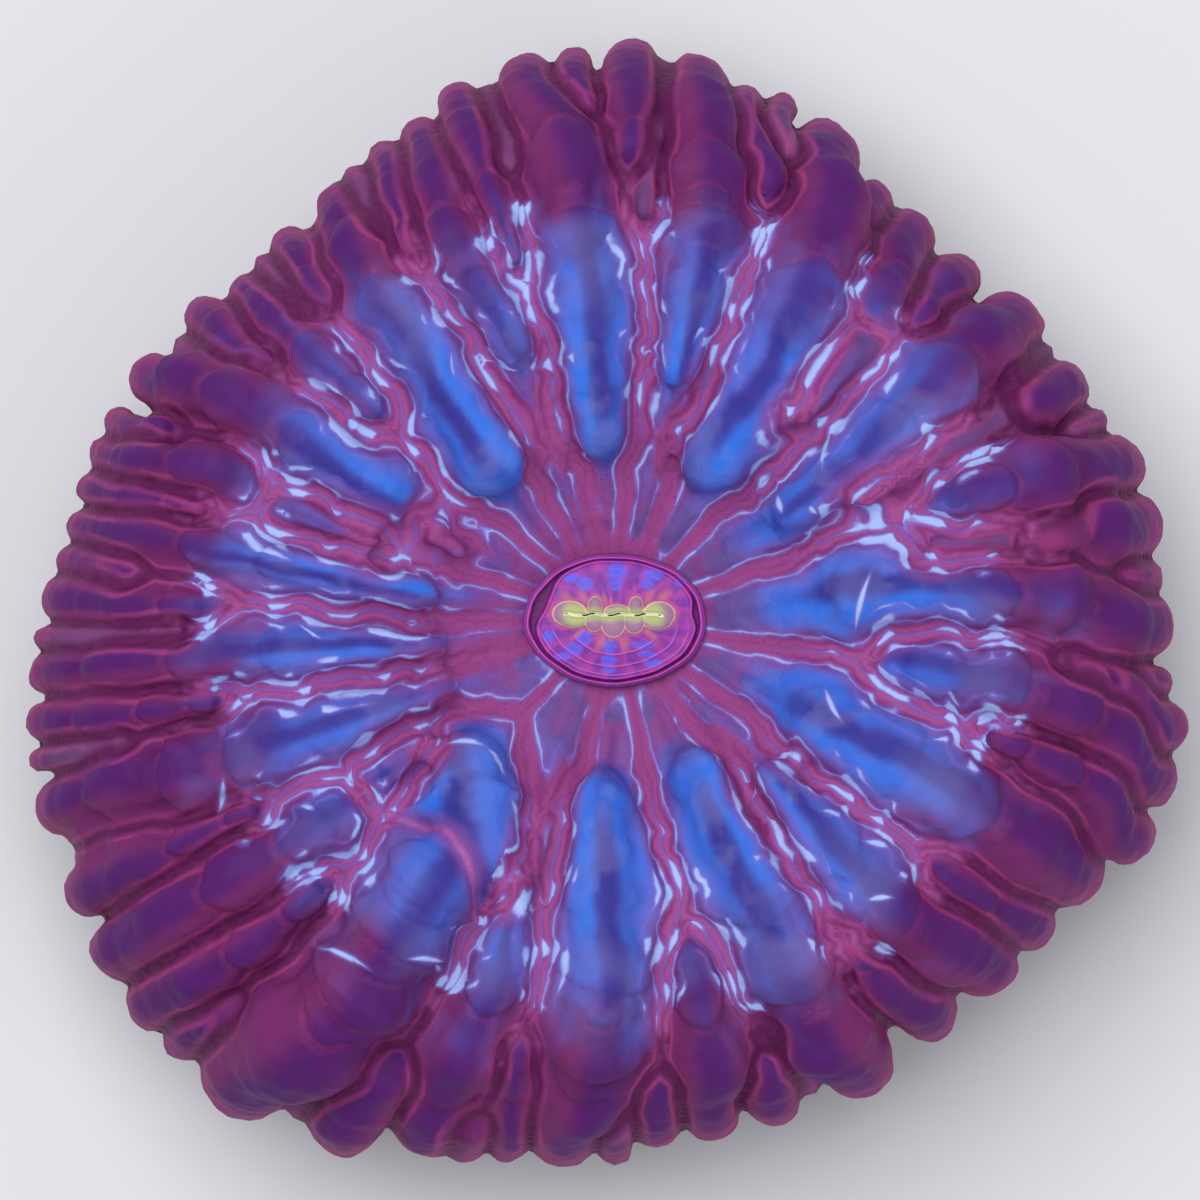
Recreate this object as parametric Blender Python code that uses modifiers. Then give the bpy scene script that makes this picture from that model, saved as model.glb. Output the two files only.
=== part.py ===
"""A single fleshy polyp of a stony coral, cut off flat where it grew on its ground.

One closed body: a low, three-cornered cushion with an oval mouth in a shallow disc,
and swollen lobes that run like spokes from the disc, over the shoulder and down the wall.
"""

import math

import bmesh
import bpy
from mathutils import Vector

MM = 0.001

# ---- Driving dimensions, in millimetres and degrees ----------------------------------
NAME = "indophyllia_coral"
MEAN_RADIUS = 31.0          # middle of the mouth to the outline, on average
OUTLINE_WAVES = (           # (waves round the outline, height, direction of a crest)
    (1, 1.6, 215.0),
    (2, 1.1, 29.0),
    (3, 1.75, 337.5),
    (4, 0.6, 356.5),
)
CALM_RADIUS = 9.0           # inside this the disc is round, whatever the outline does
DRAWN_RADIUS = 24.8         # outside this the body is drawn out to the outline in full

# Section of the cushion between the lobes, from the mouth out and down: (radius, height)
CUSHION = (
    (0.0, 15.9), (4.0, 16.1), (7.0, 16.6), (9.0, 17.5), (12.0, 18.9), (16.0, 20.0),
    (20.0, 20.2), (23.2, 19.3), (26.0, 17.2), (27.9, 14.4), (28.9, 11.4), (29.0, 8.4),
    (28.0, 5.8), (25.8, 3.2), (22.8, 1.2), (21.2, 0.0), (20.6, -1.2), (0.0, -1.2),
)
# Line that a lobe's middle follows: (share of its furthest reach, height)
LOBE_LINE = (
    (0.24, 17.2), (0.32, 18.4), (0.42, 19.6), (0.53, 20.3), (0.64, 20.6), (0.74, 20.2),
    (0.83, 19.0), (0.90, 17.0), (0.95, 14.6), (0.985, 12.0), (1.0, 9.6), (0.99, 7.4),
    (0.955, 5.2), (0.89, 3.2), (0.80, 1.8),
)
WIDEST = 10                 # the point of LOBE_LINE with the furthest reach
SHOULDER = 0.93             # share of the reach where the wall begins
INNER_SHARE = 0.8           # a lobe whose outer end is inside this has no part on the wall
OUTLINE_PLAY = 0.6          # how far a lobe's tip may stay inside the outline
WALL_TAPER = 0.82           # a lobe's width at its lower end, as a share of its tip's
WALL_SWELL = 0.03           # gain in that share at each point of LOBE_LINE on the way up
WAIST = 0.86                # width between two swellings, as a share of their mean

MAIN_RISE = 0.55            # a main lobe's middle stands this far above LOBE_LINE
SIDE_RISE = 0.45            # a side lobe, between two main ones
FOLD_RISE = 0.1             # a low fold in the groove beside a lobe

# Mouth: an oval rim round two lips
RIM_SIZE = (9.4, 6.8)
RIM_WIDTH = 0.55
RIM_HEIGHT = 16.6
LIP_LENGTH = 5.6
LIP_WIDTH = 0.85
LIP_SPREAD = 0.75           # middle of a lip, either side of the slit
LIP_BOW = 0.8               # how far the lips close in on the slit at their ends
LIP_HEIGHT = 16.4

VOXEL = 0.45                # size of the cells in which the shapes are fused
SMOOTHING = 2               # rounds of smoothing that take the cells' steps away
KEPT_SHARE = 0.066          # share of the fused faces kept by the thinning

FLESH_COLOUR = (0.13, 0.03, 0.17, 1.0)
FLESH_ROUGHNESS = 0.38

# ---- Lobes ----------------------------------------------------------------------------
# Each lobe is a string of swellings from its outer tip inwards:
# (direction in degrees from +X, distance from the mouth's middle, half width).
MAIN_LOBES = (
    ((359.5, 29.3, 1.9), (0.3, 26.5, 2.0), (3, 24, 2.0), (4, 20, 1.8), (6, 16, 1.9), (6.5, 13.4, 2.1)),
    ((10.5, 28.5, 1.75), (11.2, 25.8, 1.4)),
    ((17, 29, 1.7), (19, 27.3, 2.0), (18.5, 24, 2.4), (19.6, 20.6, 1.5)),
    ((27.3, 28, 1.6), (27.4, 25.6, 1.3)),
    ((36.5, 27.2, 1.9), (36.8, 25, 2.3), (36.5, 22, 2.3), (35, 18, 2.2), (33, 15, 2.0), (32, 11.5, 1.1)),
    ((52.8, 26.7, 1.6), (51.3, 25.4, 1.6), (51, 23, 1.5)),
    ((65.8, 28.3, 2.0), (62.5, 25, 2.3), (59.5, 19.8, 2.5), (57.5, 14.4, 2.45), (59.5, 10.4, 1.8)),
    ((81.3, 30.3, 1.65), (80.2, 27.8, 1.85), (78.5, 24.5, 2.2), (77.5, 22, 2.2), (76.5, 18.7, 1.65),
     (75.5, 14.4, 1.1)),
    ((88.3, 31, 1.5), (88, 28, 1.3), (88, 26, 1.0)),
    ((99.2, 30.5, 1.5), (97.3, 28.5, 2.0), (96, 25, 2.2), (95.5, 21, 2.3), (95, 17, 2.25), (95, 13, 2.0),
     (95, 10.4, 1.6)),
    ((111.8, 29, 1.1), (112.3, 26, 1.3), (113.2, 22.5, 1.6), (112.5, 19.5, 1.6), (110.5, 16.2, 1.2)),
    ((123.7, 27, 1.35), (124.5, 24.5, 1.65), (125.5, 21.5, 1.8), (125, 18.3, 2.0), (126.5, 15, 1.9),
     (127.5, 11.2, 2.0)),
    ((138.2, 27.2, 1.25), (138.3, 24.5, 1.3), (138.5, 21.5, 1.3), (138.8, 18.0, 0.9)),
    ((152.3, 29, 1.35), (151, 26.8, 1.85), (149.5, 23.5, 1.9), (149.5, 19, 2.0), (151.5, 14.5, 1.7)),
    ((162, 29.8, 1.0), (161.5, 27.5, 1.15), (159.5, 23.3, 1.45)),
    ((170.2, 30, 1.0), (169.7, 26, 1.1), (170, 22, 1.15), (170.5, 18, 1.0), (171, 14.5, 1.2), (172.5, 11, 0.9)),
    ((185.4, 31, 1.2), (185.3, 27, 1.2), (185.3, 22, 1.35), (185, 17.5, 1.3), (185.5, 13.5, 1.1), (188, 10.5, 0.8)),
    ((198.6, 32, 1.45), (198.2, 28, 1.75), (199.5, 25, 2.1), (200, 21, 2.0), (200.5, 15.5, 1.5), (201, 10.8, 1.0)),
    ((213.8, 33.3, 1.65), (213.8, 29, 1.8), (214.2, 24.5, 1.85), (214.5, 20, 1.55)),
    ((231, 33, 2.4), (233, 28, 3.0), (236, 24.8, 2.9), (236.5, 21, 2.9), (234.5, 17.6, 2.8)),
    ((249.8, 29, 2.1), (250.5, 25, 2.05), (251.5, 19.8, 1.4), (249.5, 15.6, 1.0)),
    ((264.3, 28.5, 2.1), (266, 26, 2.4), (267, 23, 2.8), (268.5, 19, 2.6), (267.5, 15, 2.3), (265.5, 10, 1.7)),
    ((281, 28, 1.45), (282.5, 24.5, 1.9), (282.5, 20, 1.1)),
    ((298.8, 28.3, 1.9), (297, 25.3, 2.5), (297, 21, 2.55), (297.5, 17, 2.3), (297.5, 13.5, 1.95),
     (298, 9.8, 1.7)),
    ((317, 28, 1.9), (315.5, 25, 2.15), (313.5, 21, 2.4), (313.5, 16.6, 1.85)),
    ((331, 29, 1.9), (331.5, 25.5, 2.2), (332.5, 21, 2.3), (333.5, 17, 2.5), (333.5, 12.5, 2.2)),
    ((343.7, 31, 1.6), (347, 28, 1.65), (349.5, 25, 1.75), (350.5, 21.5, 1.7), (351.3, 19.4, 1.2)),
)
SIDE_LOBES = (
    ((4.5, 29.5, 1.2), (4.8, 27.5, 1.0)),
    ((353.3, 30, 0.9), (352.8, 28, 0.8)),
    ((45.2, 26.8, 1.4), (45.5, 25.5, 1.1), (45, 23.8, 0.9)),
    ((58.5, 27, 1.2), (56.5, 25.5, 0.8)),
    ((76, 29.5, 1.2), (71, 25.5, 1.0)),
    ((94.3, 31, 1.0), (93.2, 28.5, 0.6)),
    ((106.6, 30, 1.2), (106.5, 27, 1.1), (106, 23.5, 0.8), (105.5, 20.5, 0.6)),
    ((116.3, 28.3, 1.05), (117.5, 26, 0.95), (118.5, 23, 0.7)),
    ((131, 26.5, 1.05), (132.3, 24.3, 0.9)),
    ((143.5, 28.3, 1.2), (144, 26, 1.0), (144, 24.2, 0.8)),
    ((147.5, 28, 1.0), (147.4, 26.4, 0.8)),
    ((158.5, 29.7, 0.85), (157, 27, 0.7)),
    ((165.8, 30, 0.9), (165.7, 27, 0.75), (164.8, 23.5, 0.5)),
    ((173.8, 30.4, 0.8), (174.5, 27, 0.7)),
    ((177.8, 30.5, 1.35), (178.2, 26.5, 1.1), (178, 23, 0.7)),
    ((190.2, 31.5, 1.1), (190.6, 28, 1.05), (191, 25, 0.75), (191.2, 22.6, 0.6)),
    ((207.2, 33, 1.4), (207.2, 29, 1.25), (207.2, 25.5, 0.75), (207.4, 22.5, 0.6)),
    ((219.7, 33.5, 1.5), (220.5, 29.5, 1.6), (221.8, 26, 1.2), (222, 22.4, 0.9)),
    ((224.3, 33.5, 1.2), (225.5, 30, 0.9)),
    ((241.5, 31.7, 2.0), (243, 28, 1.4)),
    ((253.7, 30, 1.4), (254.6, 28, 1.1)),
    ((258.5, 29, 1.0), (257.5, 24.5, 0.7)),
    ((274.5, 28, 1.45), (275.5, 25.6, 1.0)),
    ((288.3, 28.2, 1.45), (289, 26, 1.05)),
    ((308.7, 28, 1.6), (306.5, 24.5, 1.35), (305.8, 21.8, 1.0)),
    ((323.8, 28, 1.55), (322.3, 22.8, 0.95)),
    ((337.3, 31, 1.5), (340.8, 28, 1.4), (342, 25, 1.0), (343, 22, 0.75)),
    ((348.8, 31, 1.5), (352.3, 28.3, 1.0), (353.8, 25.5, 0.7)),
    ((231, 12.6, 2.6), (224, 12.2, 2.1)),
    ((213, 14.5, 0.9), (213, 12.4, 0.7)),
)
LOW_FOLDS = (
    ((11.5, 24.4, 1.1), (12, 21.5, 0.8), (13, 18, 0.6)),
    ((27.5, 23.8, 1.0), (27, 19.5, 0.8), (25.5, 15, 0.6)),
    ((22.5, 29, 0.7), (22.8, 27, 0.6)),
    ((32, 28, 0.7), (31.8, 25.5, 0.6)),
    ((48.5, 19.5, 0.9), (47.5, 15, 0.6)),
    ((72, 30, 0.8), (69.5, 27.5, 0.6)),
    ((85.3, 30.8, 0.7), (85.5, 26.5, 0.6), (85.5, 22.5, 0.6)),
    ((103.5, 30, 0.7), (103.2, 26, 0.6)),
    ((120.3, 27.5, 0.7), (121, 25, 0.5)),
    ((134.6, 27.3, 0.6), (135, 24, 0.5)),
    ((182, 31, 0.6), (181.8, 24, 0.5)),
    ((193.7, 32, 0.6), (194, 28, 0.5)),
    ((161, 18, 0.7), (162, 14, 0.6)),
    ((292.5, 28, 0.7), (291.5, 24, 0.6)),
    ((317, 12.5, 0.9), (318, 10.2, 0.7)),
    ((351, 15.8, 0.8), (351, 12.5, 0.7)),
    ((154, 10.9, 0.75), (156, 9.4, 0.6)),
)


def outline(degrees):
    """Distance of the outline from the mouth's middle, in a direction."""
    reach = MEAN_RADIUS
    for waves, height, crest in OUTLINE_WAVES:
        reach += height * math.cos(math.radians(waves * (degrees - crest)))
    return reach


def around(degrees, radius, height):
    """Point at a direction and distance from the upright axis."""
    turn = math.radians(degrees)
    return Vector((radius * math.cos(turn), radius * math.sin(turn), height))


def height_at(share):
    """Height of LOBE_LINE over a share of its reach, on its upper side."""
    upper = LOBE_LINE[:WIDEST + 1]
    for (near, low), (far, high) in zip(upper, upper[1:]):
        if share <= far:
            return low + (high - low) * max(share - near, 0) / (far - near)
    return upper[-1][1]


def with_waists(swellings):
    """The swellings with a narrower point between each two."""
    points = [swellings[0]]
    for (turn_a, far_a, wide_a), (turn_b, far_b, wide_b) in zip(swellings, swellings[1:]):
        turn = turn_a + ((turn_b - turn_a + 180) % 360 - 180) / 2
        points.append((turn, (far_a + far_b) / 2, WAIST * (wide_a + wide_b) / 2))
        points.append((turn_b, far_b, wide_b))
    return points


def lobe_path(swellings, rise):
    """Middle line of a lobe: up the wall from the foot, if it reaches the wall, and inwards."""
    tip_turn, tip_far, tip_wide = swellings[0]
    reach = max(tip_far, outline(tip_turn) - tip_wide - OUTLINE_PLAY)
    from_wall = tip_far > INNER_SHARE * reach
    path = []
    if from_wall:
        climb = [spot for i, spot in enumerate(LOBE_LINE) if i >= WIDEST or spot[0] > SHOULDER]
        for step, (share, height) in enumerate(reversed(climb)):
            taper = min(WALL_TAPER + step * WALL_SWELL, 1.0)
            path.append((around(tip_turn, share * reach, height), tip_wide * taper))
    for turn, far, wide in with_waists(swellings):
        share = far / reach
        if share < SHOULDER:
            path.append((around(turn, far, height_at(share) + rise), wide))
    path = with_round_end(path)
    if not from_wall:
        path = with_round_end(path[::-1])
    return path


def with_round_end(path):
    """The path with a round end, as long as the lobe is wide there."""
    (before, _), (last, wide) = path[-2:]
    ahead = (last - before).normalized()
    end = [(last + ahead * wide * step, wide * math.sqrt(1 - step * step)) for step in (0.5, 0.87, 0.99)]
    return path + end


def add_tube(curve, path, closed=False):
    """One spline of a curve object, with a half width at each point."""
    spline = curve.splines.new("POLY")
    spline.points.add(len(path) - 1)
    spline.use_cyclic_u = closed
    for point, (place, wide) in zip(spline.points, path):
        point.co = (*(place * MM), 1.0)
        point.radius = wide


def smooth_path(path, steps=3):
    """Points on a smooth curve through a path, with the widths carried along."""
    fine = []
    last = len(path) - 1
    for i in range(last):
        ends = [path[max(i - 1, 0)], path[i], path[i + 1], path[min(i + 2, last)]]
        for step in range(steps):
            t = step / steps
            mix = (-t + 2 * t ** 2 - t ** 3, 2 - 5 * t ** 2 + 3 * t ** 3,
                   t + 4 * t ** 2 - 3 * t ** 3, -t ** 2 + t ** 3)
            place = sum((m * p for m, (p, _) in zip(mix, ends)), Vector()) / 2
            wide = sum(m * w for m, (_, w) in zip(mix, ends)) / 2
            fine.append((place, wide))
    fine.append(path[-1])
    return fine


def new_curve(name, collection):
    """An empty curve object whose points' radii are half widths in millimetres."""
    curve = bpy.data.curves.new(name, "CURVE")
    curve.dimensions = "3D"
    curve.bevel_depth = MM
    curve.bevel_resolution = 3
    curve.use_fill_caps = True
    thing = bpy.data.objects.new(name, curve)
    collection.objects.link(thing)
    return thing


def make_lobes(collection):
    """All lobes and folds as the splines of one curve object."""
    thing = new_curve("lobes", collection)
    for lobes, rise in ((MAIN_LOBES, MAIN_RISE), (SIDE_LOBES, SIDE_RISE), (LOW_FOLDS, FOLD_RISE)):
        for swellings in lobes:
            add_tube(thing.data, smooth_path(lobe_path(swellings, rise)))
    return thing


def make_mouth(collection):
    """Oval rim and the two lips inside it."""
    thing = new_curve("mouth", collection)
    rim = []
    for turn in range(0, 360, 9):
        place = around(turn, 1.0, RIM_HEIGHT)
        rim.append((Vector((place.x * RIM_SIZE[0] / 2, place.y * RIM_SIZE[1] / 2, place.z)), RIM_WIDTH))
    add_tube(thing.data, rim, closed=True)
    for side in (-1, 1):
        lip = []
        for step in range(-4, 5):
            across = step / 4
            bow = 1 - LIP_BOW * across ** 2
            place = Vector((across * LIP_LENGTH / 2, side * LIP_SPREAD * bow, LIP_HEIGHT))
            lip.append((place, LIP_WIDTH * math.sqrt(1.02 - across ** 2)))
        add_tube(thing.data, lip)
    return thing


def make_cushion(collection):
    """The body between the lobes: a turned section, drawn out to the outline."""
    mesh = bpy.data.meshes.new("cushion")
    section = [Vector((radius * MM, 0, height * MM)) for radius, height in CUSHION]
    mesh.from_pydata(section, [(i, i + 1) for i in range(len(section) - 1)], [])
    thing = bpy.data.objects.new("cushion", mesh)
    collection.objects.link(thing)
    screw = thing.modifiers.new("turned", "SCREW")
    screw.steps = 96
    screw.render_steps = 96
    screw.use_merge_vertices = True
    screw.merge_threshold = 0.00001
    bpy.context.view_layer.update()
    turned = bpy.data.meshes.new_from_object(thing.evaluated_get(bpy.context.evaluated_depsgraph_get()))
    for vertex in turned.vertices:
        radius = math.hypot(vertex.co.x, vertex.co.y) / MM
        turn = math.degrees(math.atan2(vertex.co.y, vertex.co.x))
        pull = min(max((radius - CALM_RADIUS) / (DRAWN_RADIUS - CALM_RADIUS), 0), 1)
        stretch = 1 + (outline(turn) / MEAN_RADIUS - 1) * pull
        vertex.co.x *= stretch
        vertex.co.y *= stretch
    thing.modifiers.clear()
    thing.data = turned
    return thing


def as_mesh(thing):
    """The evaluated object as a bmesh with its caps welded."""
    source = thing.evaluated_get(bpy.context.evaluated_depsgraph_get())
    mesh = bpy.data.meshes.new_from_object(source)
    shape = bmesh.new()
    shape.from_mesh(mesh)
    bpy.data.meshes.remove(mesh)
    bmesh.ops.remove_doubles(shape, verts=shape.verts, dist=0.000001)
    return shape


def keep_outer_shell(shape):
    """Removes every separate shell but the largest."""
    shape.verts.ensure_lookup_table()
    left = set(shape.verts)
    shells = []
    while left:
        shell = set()
        edge = [next(iter(left))]
        while edge:
            vertex = edge.pop()
            if vertex in shell:
                continue
            shell.add(vertex)
            edge.extend(link.other_vert(vertex) for link in vertex.link_edges)
        left -= shell
        shells.append(shell)
    shells.sort(key=len)
    for shell in shells[:-1]:
        bmesh.ops.delete(shape, geom=list(shell), context="VERTS")


def cut_foot(shape):
    """Cuts the body flat at z = 0 and closes the cut."""
    everything = shape.verts[:] + shape.edges[:] + shape.faces[:]
    cut = bmesh.ops.bisect_plane(shape, geom=everything, dist=0.00002, plane_co=(0, 0, 0),
                                 plane_no=(0, 0, 1), clear_inner=True)
    rim = [part for part in cut["geom_cut"] if isinstance(part, bmesh.types.BMEdge)]
    bmesh.ops.holes_fill(shape, edges=rim, sides=0)
    for vertex in shape.verts:
        if abs(vertex.co.z) < 0.00003:
            vertex.co.z = 0.0
    bmesh.ops.triangulate(shape, faces=shape.faces)
    bmesh.ops.recalc_face_normals(shape, faces=shape.faces)


def flesh_material():
    """Dusky purple flesh, moist and soft."""
    material = bpy.data.materials.new("flesh")
    material.use_nodes = True
    shader = material.node_tree.nodes["Principled BSDF"]
    shader.inputs["Base Color"].default_value = FLESH_COLOUR
    shader.inputs["Roughness"].default_value = FLESH_ROUGHNESS
    return material


def make_polyp(collection, pieces):
    """Fuses the pieces into one closed body with a flat foot."""
    fused = bmesh.new()
    for piece in pieces:
        shape = as_mesh(piece)
        scratch = bpy.data.meshes.new("scratch")
        shape.to_mesh(scratch)
        shape.free()
        fused.from_mesh(scratch)
        bpy.data.meshes.remove(scratch)
    mesh = bpy.data.meshes.new("polyp")
    fused.to_mesh(mesh)
    fused.free()
    polyp = bpy.data.objects.new("polyp", mesh)
    collection.objects.link(polyp)
    remesh = polyp.modifiers.new("fused", "REMESH")
    remesh.mode = "VOXEL"
    remesh.voxel_size = VOXEL * MM
    smooth = polyp.modifiers.new("smoothed", "SMOOTH")
    smooth.factor = 0.5
    smooth.iterations = SMOOTHING
    thin = polyp.modifiers.new("thinned", "DECIMATE")
    thin.ratio = KEPT_SHARE
    bpy.context.view_layer.update()
    shape = as_mesh(polyp)
    keep_outer_shell(shape)
    cut_foot(shape)
    polyp.modifiers.clear()
    shape.to_mesh(mesh)
    shape.free()
    mesh.shade_smooth()
    mesh.set_sharp_from_angle(angle=math.radians(70))
    mesh.materials.append(flesh_material())
    return polyp


def main():
    for thing in list(bpy.data.objects):
        bpy.data.objects.remove(thing, do_unlink=True)
    part = bpy.data.collections.new(NAME)
    guides = bpy.data.collections.new("guides")
    for collection in (part, guides):
        bpy.context.scene.collection.children.link(collection)
    pieces = [make_cushion(guides), make_lobes(guides), make_mouth(guides)]
    make_polyp(part, pieces)
    for piece in pieces:
        piece.hide_render = True
        piece.display_type = "WIRE"


main()
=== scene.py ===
import math

import bmesh
import bpy
import numpy as np
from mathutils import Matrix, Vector, noise


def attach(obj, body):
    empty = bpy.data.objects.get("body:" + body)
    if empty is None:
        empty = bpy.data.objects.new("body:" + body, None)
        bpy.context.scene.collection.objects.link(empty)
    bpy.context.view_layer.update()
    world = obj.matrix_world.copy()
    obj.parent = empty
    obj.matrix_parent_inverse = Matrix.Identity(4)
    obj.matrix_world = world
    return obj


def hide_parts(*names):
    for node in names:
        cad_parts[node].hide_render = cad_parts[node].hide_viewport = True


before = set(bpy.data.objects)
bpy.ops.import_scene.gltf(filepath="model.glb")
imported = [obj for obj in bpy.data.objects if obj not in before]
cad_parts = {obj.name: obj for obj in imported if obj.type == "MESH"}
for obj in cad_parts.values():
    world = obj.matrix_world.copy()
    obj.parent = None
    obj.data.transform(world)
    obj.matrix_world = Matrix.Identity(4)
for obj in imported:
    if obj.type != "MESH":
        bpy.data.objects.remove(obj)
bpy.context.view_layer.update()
mm = 0.001

# The body of the polyp, in millimetres and degrees
body = {
    "meanRadius": 31.0,
    "waves": (
        (1, 1.6, 215.0), (2, 1.1, 29.0), (3, 1.75, 337.5), (4, 0.6, 356.5),
    ),    # of the outline: (count, height, crest)
    "calmRadius": 9.0,      # the body is round up to here
    "drawnRadius": 24.8,    # and has its full outline from here
    "section": (
        (0.0, 15.2), (2.6, 15.3), (4.4, 15.8), (6.0, 16.35), (7.4, 16.75), (9.2, 17.5), (12.0, 18.9),
        (16.0, 20.0), (20.0, 20.4), (23.4, 20.1), (26.4, 18.3), (28.4, 15.2), (29.2, 11.8), (29.3, 8.4),
        (28.0, 5.8), (25.8, 3.2), (22.8, 1.2), (21.2, 0.0), (20.6, -1.2), (0.0, -1.2),
    ),    # (radius, height) from the middle of the disc round to the middle of the foot
    "topPoints": 10,        # how many of these make the top
    "topHeight": 14.0,      # the lobes' feet swell above this
    "turns": 400,
    "ringStep": 0.4,
    "voxel": 0.29,
    "smoothShare": 0.5,
    "smoothRounds": 3,
    "cutReach": 0.00002,    # how near the cut a point may already lie, in metres
    "wallHeight": 10.5,     # below this the mesh may be coarser
    "wallBlend": 4.0,       # and fully so this far below
    "keptShare": 0.62,
    "streamHalfWide": (
        (5.0, 0.42), (9.0, 0.62), (12.0, 0.66), (15.0, 0.6), (18.0, 0.5), (22.0, 0.34), (25.0, 0.16),
        (28.0, 0.1),
    ),    # (radius, half width)
    "tightShare": 0.12,     # what is left of the stream between two lobes that lie on each other
    "spread": ((6.0, 4.8), (10.0, 3.5), (13.0, 1.3), (16.0, 0.95)),    # how far a lobe's foot reaches
    "swell": ((6.0, 0.0), (8.0, 0.3), (11.0, 0.9), (20.0, 0.9), (24.0, 0.0)),    # how high it is
    "swellDepth": 1.6,
}

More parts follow.
